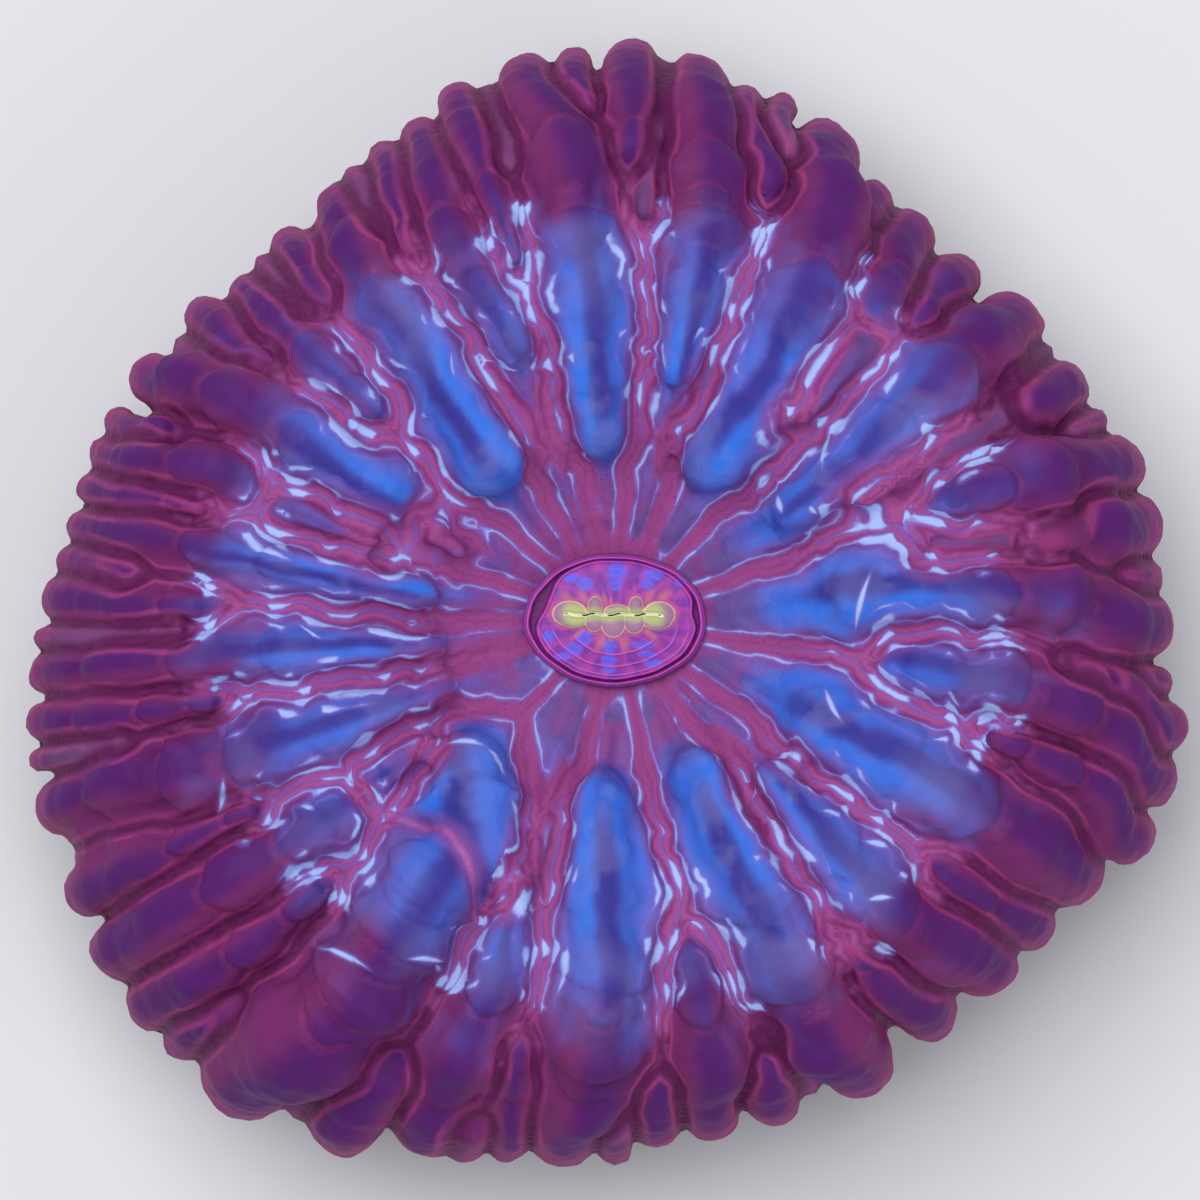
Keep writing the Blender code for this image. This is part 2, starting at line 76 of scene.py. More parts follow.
# The lobes: (blue, side, swellings), each swelling (direction, distance, half width) from the tip inwards.
# blue is how strongly the inner part glows, and side which flank is painted lighter, as if lit (1
# counter-clockwise).
lobe = {
    "line": (
        (0.24, 17.2), (0.32, 18.4), (0.42, 19.6), (0.53, 20.3), (0.64, 20.6), (0.74, 20.2),
        (0.83, 19.0), (0.90, 17.0), (0.95, 14.6), (0.985, 12.0), (1.0, 9.6), (0.99, 7.4),
        (0.955, 5.2), (0.89, 3.2), (0.80, 1.8),
    ),    # (share of the reach, height) of a lobe's middle
    "widest": 10,           # which of these lies furthest out
    "shoulder": 0.93,       # share of the reach at which the top turns down into the wall
    "innerShare": 0.8,      # lobes whose tip is within this share don't run down the wall
    "outlinePlay": 0.6,
    "wallTaper": 0.82,
    "wallSwell": 0.03,
    "waist": 0.84,
    "outerWaist": 0.8,
    "outerFrom": 20.0,      # distance at which the outer waists begin
    "rise": {"main": 0.1, "bulb": 1.0, "proud": 1.8, "side": 0.0, "fold": -0.3},
    "sink": 0.42,           # share of the half width by which the inner lobes are sunk
    "sinkTo": 0.85,         # share of the reach at which they are no longer sunk
    "sinkOver": 0.3,
    "evenWide": 1.9,        # narrower lobes are raised, and broader ones lowered, by this share of the rest
    "evenShare": 0.5,
    "plump": 1.12,
    "endSteps": (0.5, 0.87, 0.99),    # rings of a round end, as shares of its half width
    "tailFrom": 17.0,       # main lobes that end within this radius run on as low tails
    "tailStart": 0.9, "tailEnd": 5.7,
    "tailWide": 0.105, "tailSunk": 0.45,    # half width and depth as shares
    "step": 0.3,
    "sides": 20,
    "unevenness": 0.22,
    "lumpScale": 420.0,     # of the noise, on places in metres
    "sampleStep": 0.22,
    "upright": (0.45, 0.45, 1.0),    # a lobe's back faces away from the core, more up than out
    "core": (0.0, 0.0, 8.0),
    "leastWide": 0.3,
    "farAway": 6.0,         # stands for the distance where no lobe is near
    "noWaist": 9.0,         # and for the distance to a waist on a lobe with none
    "searchReach": 7.0,
    "batch": 4000,          # points worked out at once
    "waistBow": 0.8,        # how far the waists bow, in half widths
    "waistRound": 0.96,
    "main": (
        (1.0, 0, ((359.5, 29.3, 1.9), (0.3, 26.5, 2.0), (3, 24, 2.0), (4, 20, 1.8), (6, 16, 1.9),
                  (6.5, 13.4, 2.1))),
        (0.1, 0, ((10.2, 28.9, 2.0), (10.8, 26.4, 2.0), (11.0, 24.2, 1.3))),
        (0.5, 0, ((17, 29, 1.7), (19, 27.3, 2.0), (18.5, 24, 2.4), (19.6, 20.6, 1.5))),
        (0.2, 0, ((27.3, 28, 1.6), (27.4, 25.6, 1.3))),
        (0.9, 1, ((36.5, 27.2, 1.9), (36.8, 25, 2.3), (36.5, 22, 2.3), (35, 18, 2.2), (33, 15, 2.0),
                  (32, 11.5, 1.1))),
        (0.4, 0, ((52.8, 26.7, 1.6), (51.3, 25.4, 1.6), (51, 23, 1.5))),
        (1.0, 0, ((65.8, 28.3, 2.0), (62.5, 25, 2.3), (59.5, 19.8, 2.5), (57.5, 14.4, 2.45),
                  (59.5, 10.4, 1.8))),
        (1.0, -1, ((81.3, 30.3, 1.65), (80.2, 27.8, 1.85), (78.5, 24.5, 2.2), (77.5, 22, 2.2),
                   (76.5, 18.7, 1.65), (75.5, 14.4, 1.1))),
        (0.1, 0, ((88.3, 31, 1.5), (88, 28, 1.3), (88, 26, 1.0))),
        (1.0, -1, ((99.2, 30.5, 1.5), (97.3, 28.5, 2.0), (96, 25, 2.2), (95.5, 21, 2.3), (95, 17, 2.25),
                   (95, 13, 2.0), (95, 10.4, 1.6))),
        (0.6, 0, ((111.8, 29, 1.1), (112.3, 26, 1.3), (113.2, 22.5, 1.6), (112.5, 19.5, 1.6),
                  (110.5, 16.2, 1.2))),
        (1.0, 1, ((123.7, 27, 1.35), (124.5, 24.5, 1.65), (125.5, 21.5, 1.8), (125, 18.3, 2.0),
                  (126.5, 15, 1.9), (127.5, 11.2, 2.0))),
        (0.5, 0, ((138.2, 27.2, 1.25), (138.3, 24.5, 1.3), (138.5, 21.5, 1.3), (138.8, 18.0, 0.9))),
        (0.9, 0, ((152.3, 29, 1.35), (151, 26.8, 1.85), (149.5, 23.5, 1.9), (149.5, 19, 2.0),
                  (151.5, 14.5, 1.7))),
        (0.6, 0, ((162, 29.8, 1.0), (161.5, 27.5, 1.15), (159.5, 23.3, 1.45))),
        (1.0, 0, ((170.2, 30, 1.0), (169.7, 26, 1.1), (170, 22, 1.15), (170.5, 18, 1.0),
                  (171, 14.5, 1.2), (172.5, 11, 0.9))),
        (1.0, -1, ((185.4, 31, 1.2), (185.3, 27, 1.2), (185.3, 22, 1.35), (185, 17.5, 1.3),
                   (185.5, 13.5, 1.1), (188, 10.5, 0.8))),
        (0.8, -1, ((198.6, 32, 1.45), (198.2, 28, 1.75), (199.5, 25, 2.1), (200, 21, 2.0),
                   (200.5, 15.5, 1.5), (201, 10.8, 1.0))),
        (0.4, -1, ((213.8, 33.3, 1.65), (213.8, 29, 1.8), (214.2, 24.5, 1.85), (214.5, 20, 1.55))),
        (0.8, 0, ((249.8, 29, 2.1), (250.5, 25, 2.05), (251.5, 19.8, 1.4), (249.5, 15.6, 1.0))),
        (1.0, 1, ((264.3, 28.5, 2.1), (266, 26, 2.4), (267, 23, 2.8), (268.5, 19, 2.6),
                  (267.5, 15, 2.3), (265.5, 10, 1.7))),
        (0.5, 0, ((281, 28, 1.45), (282.5, 24.5, 1.9), (282.5, 20, 1.1))),
        (1.0, -1, ((298.8, 28.3, 1.9), (297, 25.3, 2.5), (297, 21, 2.55), (297.5, 17, 2.3),
                   (297.5, 13.5, 1.95), (298, 9.8, 1.7))),
        (0.9, 1, ((317, 28, 1.9), (315.5, 25, 2.15), (313.5, 21, 2.4), (313.5, 16.6, 1.85),
                  (315, 12.6, 1.2))),
        (1.0, 1, ((331, 29, 1.9), (331.5, 25.5, 2.2), (332.5, 21, 2.3), (333.5, 17, 2.5),
                  (333.5, 12.5, 2.2))),
        (0.7, 0, ((343.7, 31, 1.6), (347, 28, 1.65), (349.5, 25, 1.75), (350.5, 21.5, 1.9),
                  (351.3, 17.4, 1.6))),
    ),
    "side": (
        (0.1, 0, ((4.5, 29.5, 1.2), (4.8, 27.5, 1.0))),
        (0.1, 0, ((353.3, 30, 0.9), (352.8, 28, 0.8))),
        (0.3, 0, ((45.2, 26.8, 1.4), (45.5, 25.5, 1.1), (45, 23.8, 0.9))),
        (0.3, 0, ((58.5, 27, 1.2), (56.5, 25.5, 0.8))),
        (0.3, 0, ((76, 29.5, 1.2), (71, 25.5, 1.0))),
        (0.1, 0, ((94.3, 31, 1.0), (93.2, 28.5, 0.6))),
        (0.2, 0, ((106.6, 30, 1.2), (106.5, 27, 1.1), (106, 23.5, 0.8), (105.5, 20.5, 0.6))),
        (0.3, 0, ((116.3, 28.3, 1.05), (117.5, 26, 0.95), (118.5, 23, 0.7))),
        (0.3, 0, ((131, 26.5, 1.05), (132.3, 24.3, 0.9))),
        (0.3, 0, ((143.5, 28.3, 1.2), (144, 26, 1.0), (144, 24.2, 0.8))),
        (0.2, 0, ((147.5, 28, 1.0), (147.4, 26.4, 0.8))),
        (0.2, 0, ((158.5, 29.7, 0.85), (157, 27, 0.7))),
        (0.3, 0, ((165.8, 30, 0.9), (165.7, 27, 0.75), (164.8, 23.5, 0.5))),
        (0.2, 0, ((173.8, 30.4, 0.8), (174.5, 27, 0.7))),
        (0.3, 0, ((177.8, 30.5, 1.35), (178.2, 26.5, 1.1), (178, 23, 0.7))),
        (0.2, 0, ((190.2, 31.5, 1.1), (190.6, 28, 1.05), (191, 25, 0.75), (191.2, 22.6, 0.6))),
        (0.2, 0, ((207.2, 33, 1.4), (207.2, 29, 1.25), (207.2, 25.5, 0.75), (207.4, 22.5, 0.6))),
        (0.3, 0, ((219.7, 33.5, 1.5), (220.5, 29.5, 1.6), (221.8, 26, 1.2), (222, 22.4, 0.9))),
        (0.1, 0, ((224.3, 33.5, 1.2), (225.5, 30, 0.9))),
        (0.1, 0, ((241.5, 31.7, 2.0), (243, 28, 1.4))),
        (0.1, 0, ((253.7, 30, 1.4), (254.6, 28, 1.1))),
        (0.2, 0, ((258.5, 29, 1.0), (257.5, 24.5, 0.7))),
        (0.1, 0, ((274.5, 28, 1.45), (275.5, 25.6, 1.0))),
        (0.2, 0, ((288.3, 28.2, 1.45), (289, 26, 1.05))),
        (0.4, 0, ((308.7, 28, 1.6), (306.5, 24.5, 1.35), (305.8, 21.8, 1.0))),
        (0.4, 0, ((323.8, 28, 1.55), (322.3, 22.8, 0.95))),
        (0.2, 0, ((337.3, 31, 1.5), (340.8, 28, 1.4), (342, 25, 1.0), (343, 22, 0.75))),
        (0.2, 0, ((348.8, 31, 1.5), (352.3, 28.3, 1.0), (353.8, 25.5, 0.7))),
        (0.4, 0, ((213, 14.5, 0.9), (213, 12.4, 0.7))),
    ),
    "bulb": (
        (1.0, 0, ((239, 14.4, 2.3), (232, 12.7, 2.8), (225, 11.4, 2.0))),
    ),
    "proud": (
        (0.8, 1, ((231, 32.5, 2.6), (233.5, 28, 3.3), (235, 24.3, 3.1), (235, 20.8, 2.9),
                  (234.7, 17.9, 2.5))),
    ),
    "fold": (
        (0.2, 0, ((11.5, 24.4, 1.1), (12, 21.5, 0.8), (13, 18, 0.6))),
        (0.3, 0, ((27.5, 24.0, 1.3), (27.3, 21.5, 1.0), (27, 18.0, 0.7), (25.5, 15, 0.5))),
        (0.0, 0, ((22.5, 29, 0.7), (22.8, 27, 0.6))),
        (0.0, 0, ((32, 28, 0.7), (31.8, 25.5, 0.6))),
        (0.4, 0, ((48.5, 19.5, 0.9), (47.5, 15, 0.6))),
        (0.0, 0, ((72, 30, 0.8), (69.5, 27.5, 0.6))),
        (0.1, 0, ((85.3, 30.8, 0.7), (85.5, 26.5, 0.6), (85.5, 22.5, 0.6))),
        (0.1, 0, ((103.5, 30, 0.7), (103.2, 26, 0.6))),
        (0.0, 0, ((120.3, 27.5, 0.7), (121, 25, 0.5))),
        (0.0, 0, ((134.6, 27.3, 0.6), (135, 24, 0.5))),
        (0.2, 0, ((182, 31, 0.6), (181.8, 24, 0.5))),
        (0.0, 0, ((193.7, 32, 0.6), (194, 28, 0.5))),
        (0.3, 0, ((161, 18, 0.7), (162, 14, 0.6))),
        (0.0, 0, ((292.5, 28, 0.7), (291.5, 24, 0.6))),
        (0.0, 0, ((237.3, 31.0, 0.9), (238.6, 27.5, 0.6))),
        (0.0, 0, ((270.0, 29.6, 0.85), (270.4, 27.5, 0.5))),
        (0.6, 0, ((154, 10.9, 0.75), (156, 9.4, 0.6))),
    ),
}


def outlineAt(degrees):
    reach = body["meanRadius"]
    for count, height, crest in body["waves"]:
        reach += height * math.cos(math.radians(count * (degrees - crest)))
    return reach


def aroundAxis(degrees, radius, height):
    turn = math.radians(degrees)
    return Vector((radius * math.cos(turn), radius * math.sin(turn), height))


def readOff(pairs, value):    # from a line through (place, value) pairs
    return np.interp(value, *np.array(pairs).T)


def heightAt(share):    # of a lobe's middle
    upper = lobe["line"][:lobe["widest"] + 1]
    for (near, low), (far, high) in zip(upper, upper[1:]):
        if share <= far:
            return low + (high - low) * max(share - near, 0) / (far - near)
    return upper[-1][1]


def bodyLevel(radius):    # height of the body's top between the lobes
    return float(readOff(body["section"][:body["topPoints"]], radius))


def withWaists(swellings):    # a narrower place between every two swellings
    points = [(*swellings[0], False)]
    for (turnA, farA, wideA), (turnB, farB, wideB) in zip(swellings, swellings[1:]):
        turn = turnA + ((turnB - turnA + 180) % 360 - 180) / 2
        far = (farA + farB) / 2
        waist = lobe["waist"] if far < lobe["outerFrom"] else lobe["outerWaist"]
        points.append((turn, far, waist * (wideA + wideB) / 2, True))
        points.append((turnB, farB, wideB, False))
    return points


def withRoundEnd(path):
    (before, _, _), (last, wide, _) = path[-2:]
    ahead = (last - before).normalized()
    return path + [(last + ahead * wide * step, wide * math.sqrt(1 - step * step), False)
                   for step in lobe["endSteps"]]


def lobePath(swellings, rise, hasTail):    # (place, half width, is it a waist), from the foot inwards
    tipTurn, tipFar, tipWide = swellings[0]
    reach = max(tipFar, outlineAt(tipTurn) - tipWide - lobe["outlinePlay"])
    fromWall = tipFar > lobe["innerShare"] * reach
    path = []
    if fromWall:
        climb = [spot for i, spot in enumerate(lobe["line"])
                 if i >= lobe["widest"] or spot[0] > lobe["shoulder"]]
        for step, (share, height) in enumerate(reversed(climb)):
            taper = min(lobe["wallTaper"] + step * lobe["wallSwell"], 1.0)
            place = aroundAxis(tipTurn, share * reach, height)
            path.append((place, tipWide * taper * lobe["plump"], False))
    for turn, far, wide, isWaist in withWaists(swellings):
        share = far / reach
        if share < lobe["shoulder"]:
            sunk = min(max((lobe["sinkTo"] - share) / lobe["sinkOver"], 0), 1)
            lift = rise - lobe["sink"] * wide * sunk
            lift += lobe["evenShare"] * (lobe["evenWide"] - wide)
            path.append((aroundAxis(turn, far, heightAt(share) + lift), wide * lobe["plump"], isWaist))
    lastTurn, lastFar, lastWide = swellings[-1]
    if hasTail and lastFar < lobe["tailFrom"]:
        start = lastFar - lobe["tailStart"] * lastWide
        for share in (0.0, 0.5, 1.0):
            far = start + (lobe["tailEnd"] - start) * share
            wide = lobe["tailWide"] * far
            place = aroundAxis(lastTurn, far, bodyLevel(far) - lobe["tailSunk"] * wide)
            path.append((place, wide, False))
    path = withRoundEnd(path)
    if not fromWall:
        path = withRoundEnd(path[::-1])[::-1]
    return path


def smoothPath(path, steps=4):    # a curve through the points of a path
    fine = []
    last = len(path) - 1
    for i in range(last):
        ends = [path[max(i - 1, 0)], path[i], path[i + 1], path[min(i + 2, last)]]
        for step in range(steps):
            t = step / steps
            mix = (-t + 2 * t ** 2 - t ** 3, 2 - 5 * t ** 2 + 3 * t ** 3,
                   t + 4 * t ** 2 - 3 * t ** 3, -t ** 2 + t ** 3)
            place = sum((m * spot[0] for m, spot in zip(mix, ends)), Vector()) / 2
            wide = sum(m * spot[1] for m, spot in zip(mix, ends)) / 2
            fine.append((place, wide, step == 0 and path[i][2]))
    fine.append(path[-1])
    return fine


def link(thing):
    bpy.context.scene.collection.objects.link(thing)
    return thing


def evaluated(thing):    # plain mesh of an object with its modifiers worked in
    bpy.context.view_layer.update()
    source = thing.evaluated_get(bpy.context.evaluated_depsgraph_get())
    return bpy.data.meshes.new_from_object(source)


class Wire:    # a node's socket that works in Python expressions
    def __init__(self, tree, socket):
        self.tree = tree
        self.socket = socket

    def maths(self, operation, *values):
        return self.tree.add("ShaderNodeMath", {"operation": operation}, dict(enumerate(values)))

    def __add__(self, other):
        return self.maths("ADD", self, other)

    def __sub__(self, other):
        return self.maths("SUBTRACT", self, other)

    def __rsub__(self, other):
        return self.maths("SUBTRACT", other, self)

    def __mul__(self, other):
        return self.maths("MULTIPLY", self, other)

    def __pow__(self, other):
        return self.maths("POWER", self, other)

    def __abs__(self):
        return self.maths("ABSOLUTE", self)

    def wave(self):
        return self.maths("SINE", self)

    def highest(self, other):
        return self.maths("MAXIMUM", self, other)

    def step(self, ends):    # 0 below the first end, 1 above the second, smooth between
        return self.tree.add("ShaderNodeMapRange", {"interpolation_type": "SMOOTHSTEP"},
                             {"Value": self, "From Min": ends[0], "From Max": ends[1]})

    __radd__ = __add__
    __rmul__ = __mul__


class Tree:    # a node tree and the one way to add nodes to it
    def __init__(self, tree):
        self.tree = tree

    def add(self, kind, settings=None, inputs=None, output=0):    # output None gives all of them
        node = self.tree.nodes.new(kind)
        for name, value in (settings or {}).items():
            setattr(node, name, value)
        for name, value in (inputs or {}).items():
            if isinstance(value, Wire):
                self.tree.links.new(value.socket, node.inputs[name])
            else:
                node.inputs[name].default_value = value
        if output is None:
            return [Wire(self, socket) for socket in node.outputs]
        return Wire(self, node.outputs[output])

    def attribute(self, name):
        return self.add("ShaderNodeAttribute", {"attribute_name": name}, output="Fac")

    def blend(self, factor, first, second):    # two colours
        return self.add("ShaderNodeMix", {"data_type": "RGBA"}, {0: factor, 6: first, 7: second}, 2)

    def grain(self, place, scale, detail):
        return self.add("ShaderNodeTexNoise", {"normalize": True},
                        {"Vector": place, "Scale": scale, "Detail": detail, "Roughness": 0.5}, "Fac")

    def place(self):    # in the object's own space, in millimetres, with its x and y
        coords = self.add("ShaderNodeTexCoord", output="Object")
        place = self.add("ShaderNodeVectorMath", {"operation": "MULTIPLY"}, {0: coords, 1: (1 / mm,) * 3})
        x, y, _ = self.add("ShaderNodeSeparateXYZ", {}, {0: place}, None)
        return place, x, y

    def plug(self, wire, shader, socket):
        self.tree.links.new(wire.socket, shader.inputs[socket])

    def bump(self, shader, strength, distance, height):
        inputs = {"Strength": strength, "Distance": distance, "Height": height}
        self.plug(self.add("ShaderNodeBump", {}, inputs), shader, "Normal")


def tint(red, green, blue):    # a display colour, 0 to 255, as the shader's linear one
    parts = []
    for value in (red, green, blue):
        value /= 255
        parts.append(value / 12.92 if value <= 0.04045 else ((value + 0.055) / 1.055) ** 2.4)
    return (*parts, 1.0)


def newMaterial(name, settings):
    material = bpy.data.materials.new(name)
    material.use_nodes = True
    shader = material.node_tree.nodes["Principled BSDF"]
    for socket, value in settings.items():
        shader.inputs[socket].default_value = value
    return material, Tree(material.node_tree), shader


def tubeTree(material):    # a tube round each lobe's middle line, joined with the body
    group = bpy.data.node_groups.new("lobeTubes", "GeometryNodeTree")
    for name, kind in (("Geometry", "Geometry"), ("Body", "Object"), ("Step", "Float"), ("Sides", "Int"),
                       ("Unevenness", "Float"), ("Flesh", "Material")):
        group.interface.new_socket(name, in_out="INPUT", socket_type="NodeSocket" + kind)
    group.interface.new_socket("Geometry", in_out="OUTPUT", socket_type="NodeSocketGeometry")
    tree = Tree(group)
    given = group.nodes.new("NodeGroupInput")
    value = {socket.name: Wire(tree, socket) for socket in given.outputs if socket.name}
    middle = tree.add("GeometryNodeResampleCurve", {"mode": "LENGTH"},
                      {"Curve": value["Geometry"], "Length": value["Step"]})
    place = tree.add("GeometryNodeInputPosition")
    lumps = tree.add("ShaderNodeTexNoise", {"noise_dimensions": "3D"},
                     {"Vector": place, "Scale": lobe["lumpScale"], "Detail": 1.0}, "Fac")
    radius = tree.add("GeometryNodeInputRadius")
    swollen = radius * ((lumps - 0.5) * value["Unevenness"] + 1.0)
    ring = tree.add("GeometryNodeCurvePrimitiveCircle", {},
                    {"Resolution": value["Sides"], "Radius": mm}, "Curve")
    tubes = tree.add("GeometryNodeCurveToMesh", {},
                     {"Curve": middle, "Profile Curve": ring, "Scale": swollen, "Fill Caps": True})
    base = tree.add("GeometryNodeObjectInfo", {}, {"Object": value["Body"]}, "Geometry")
    join = group.nodes.new("GeometryNodeJoinGeometry")
    for part in (tubes, base):
        tree.plug(part, join, 0)
    real = tree.add("GeometryNodeRealizeInstances", {}, {"Geometry": Wire(tree, join.outputs[0])})
    named = tree.add("GeometryNodeSetMaterial", {}, {"Geometry": real, "Material": value["Flesh"]})
    tree.plug(named, group.nodes.new("NodeGroupOutput"), 0)
    return group


def setInputs(modifier, values):
    for item in modifier.node_group.interface.items_tree:
        if item.item_type == "SOCKET" and item.in_out == "INPUT" and item.name in values:
            modifier[item.identifier] = values[item.name]


def closedMesh(name, columns, top, bottom):    # columns of points all round, closed by a point at each end
    shape = bmesh.new()
    columns = [[shape.verts.new(point * mm) for point in column] for column in columns]
    top, bottom = (shape.verts.new((0, 0, level * mm)) for level in (top, bottom))
    for column, after in zip(columns, columns[1:] + columns[:1]):
        shape.faces.new((top, column[0], after[0]))
        shape.faces.new((bottom, after[-1], column[-1]))
        for i in range(len(column) - 1):
            shape.faces.new((column[i], column[i + 1], after[i + 1], after[i]))
    bmesh.ops.recalc_face_normals(shape, faces=shape.faces)
    mesh = bpy.data.meshes.new(name)
    shape.to_mesh(mesh)
    shape.free()
    return mesh


def turnedBody(lobes):    # the body between the lobes, drawn out to the outline, with the lobes' broad feet
    section = []
    for (radius, height), (far, low) in zip(body["section"][1:], body["section"][2:]):
        steps = max(int(math.hypot(far - radius, low - height) / body["ringStep"]), 1)
        section += [(radius + (far - radius) * i / steps, height + (low - height) * i / steps)
                    for i in range(steps)]
    radius, height = np.array(section[:-1]).T
    degrees = np.arange(body["turns"]) * 360 / body["turns"]
    stretch = np.array([outlineAt(turn) for turn in degrees]) / body["meanRadius"] - 1
    pull = np.clip((radius - body["calmRadius"]) / (body["drawnRadius"] - body["calmRadius"]), 0, 1)
    far = radius * (1 + np.outer(stretch, pull))
    turn = np.radians(degrees)[:, None]
    points = np.stack([far * np.cos(turn), far * np.sin(turn), np.broadcast_to(height, far.shape)], axis=2)
    points = points.reshape(-1, 3)
    top = points[:, 2] > body["topHeight"]
    depth = -lobeFields(points[top], lobes)["edge"]
    swell = readOff(body["swell"], np.hypot(points[top, 0], points[top, 1]))
    depth = np.clip(depth / body["swellDepth"], 0, 1)
    points[top, 2] += swell * np.sqrt(1 - (1 - depth) ** 2)
    points = points.reshape(len(degrees), len(radius), 3)
    mesh = closedMesh("body", points, body["section"][0][1], body["section"][-1][1])
    return link(bpy.data.objects.new("body", mesh))


def lobeCurves(paths):
    curve = bpy.data.curves.new("lobeLines", "CURVE")
    curve.dimensions = "3D"
    for path in paths:
        spline = curve.splines.new("POLY")
        spline.points.add(len(path) - 1)
        for point, (place, wide, _) in zip(spline.points, path):
            point.co = (*(place * mm), 1.0)
            point.radius = wide
    return link(bpy.data.objects.new("lobeLines", curve))


def keepOuterShell(shape):    # the one with the most points
    left = set(shape.verts)
    shells = []
    while left:
        shell, edge = set(), [next(iter(left))]
        while edge:
            vertex = edge.pop()
            if vertex not in shell:
                shell.add(vertex)
                edge.extend(side.other_vert(vertex) for side in vertex.link_edges)
        left -= shell
        shells.append(shell)
    shells.sort(key=len)
    for shell in shells[:-1]:
        bmesh.ops.delete(shape, geom=list(shell), context="VERTS")


def cutFoot(mesh):    # flat at z = 0
    shape = bmesh.new()
    shape.from_mesh(mesh)
    keepOuterShell(shape)
    everything = shape.verts[:] + shape.edges[:] + shape.faces[:]
    cut = bmesh.ops.bisect_plane(shape, geom=everything, dist=body["cutReach"], plane_co=(0, 0, 0),
                                 plane_no=(0, 0, 1), clear_inner=True)
    rim = [part for part in cut["geom_cut"] if isinstance(part, bmesh.types.BMEdge)]
    bmesh.ops.holes_fill(shape, edges=rim, sides=0)
    bmesh.ops.triangulate(shape, faces=shape.faces)
    bmesh.ops.recalc_face_normals(shape, faces=shape.faces)
    shape.to_mesh(mesh)
    shape.free()


def thinWall(thing):    # fewer faces low on the wall, where little is seen
    group = thing.vertex_groups.new(name="wall")
    height = coordinates(thing.data)[:, 2] / mm
    low = body["wallHeight"]
    for i in np.flatnonzero(height < low):
        group.add([int(i)], min((low - height[i]) / body["wallBlend"], 1.0), "REPLACE")
    thin = thing.modifiers.new("thinned", "DECIMATE")
    thin.ratio = body["keptShare"]
    thin.vertex_group = "wall"
    thin.vertex_group_factor = 1.0
    mesh = evaluated(thing)
    thing.modifiers.clear()
    thing.vertex_groups.clear()
    thing.data = mesh


def lobeSamples(path):    # close points along a lobe's middle, with the directions ahead and beside
    spots = np.array([[*place, wide] for place, wide, _ in path])
    gap = np.linalg.norm(np.diff(spots[:, :3], axis=0), axis=1)
    length = np.concatenate([[0], np.cumsum(gap)])
    count = int(length[-1] / lobe["sampleStep"]) + 2
    fine = np.linspace(0, length[-1], count)
    place = np.stack([np.interp(fine, length, spots[:, i]) for i in range(3)], axis=1)
    wide = np.interp(fine, length, spots[:, 3])
    ahead = np.gradient(place, axis=0)
    ahead /= np.linalg.norm(ahead, axis=1, keepdims=True)
    outward = place * lobe["upright"] - lobe["core"]
    outward -= ahead * (ahead * outward).sum(1, keepdims=True)
    outward /= np.linalg.norm(outward, axis=1, keepdims=True)
    beside = np.cross(outward, ahead)
    fromInner = length[-1] - fine
    waists = [length[-1] - at for at, spot in zip(length, path) if spot[2]]
    return place, wide, ahead, beside, fromInner, waists


def lobeFields(points, lobes):    # where each point of the surface lies beside its nearest lobe
    count = len(points)
    nearest = np.full(count, lobe["farAway"])
    second = np.full(count, lobe["farAway"])
    nearTight = np.zeros(count, bool)
    secondTight = np.zeros(count, bool)
    field = {name: np.zeros(count) for name in ("across", "blue", "side", "low", "outside")}
    field["waist"] = np.full(count, lobe["noWaist"])
    for blue, side, kind, path in lobes:
        place, wide, ahead, beside, fromInner, waists = lobeSamples(path)
        tight = kind in ("bulb", "proud")
        margin = lobe["searchReach"]
        close = ((points > place.min(0) - margin) & (points < place.max(0) + margin)).all(1)
        close = np.flatnonzero(close)
        for some in np.array_split(close, max(len(close) // lobe["batch"], 1)):
            offset = points[some][:, None, :] - place[None]
            reach = np.linalg.norm(offset, axis=2)
            skin = reach - wide
            pick = skin.argmin(1)
            skin = skin[np.arange(len(some)), pick]
            mine = skin < nearest[some]
            runnerUp = ~mine & (skin < second[some])
            second[some] = np.where(mine, nearest[some], np.minimum(second[some], skin))
            keptTight = np.where(runnerUp, tight, secondTight[some])
            secondTight[some] = np.where(mine, nearTight[some], keptTight)
            rows = some[mine]
            pick = pick[mine]
            offset = offset[mine, pick]
            nearest[rows] = skin[mine]
            nearTight[rows] = tight
            lateral = (offset * beside[pick]).sum(1)
            field["across"][rows] = lateral / np.maximum(wide[pick], lobe["leastWide"])
            field["blue"][rows] = blue
            field["side"][rows] = side
            field["low"][rows] = kind == "fold"
            field["waist"][rows] = lobe["noWaist"]
            if waists:
                fromEnd = fromInner[pick] - (offset * ahead[pick]).sum(1)
                share = np.clip(np.abs(lateral) / wide[pick], 0, 1)
                bow = 1 - np.sqrt(1 - share ** 2 * lobe["waistRound"])
                arc = (fromEnd + lobe["waistBow"] * wide[pick] * bow)[:, None] - np.array(waists)
                which = np.abs(arc).argmin(1)
                arc = arc[np.arange(len(rows)), which]
                field["waist"][rows] = np.abs(arc)
                field["outside"][rows] = arc > 0
    radius = np.hypot(points[:, 0], points[:, 1])
    field["radius"], field["height"] = radius, points[:, 2]
    field["gap"] = (second - nearest) / 2
    field["lane"] = np.where(field["across"] < 0, -field["gap"], field["gap"])
    bothTight = nearTight & secondTight
    field["tight"] = bothTight.astype(float)
    stream = readOff(body["streamHalfWide"], radius)
    stream = np.where(bothTight, stream * body["tightShare"], stream)
    field["edge"] = np.maximum(stream - field["gap"], nearest - readOff(body["spread"], radius))
    return field


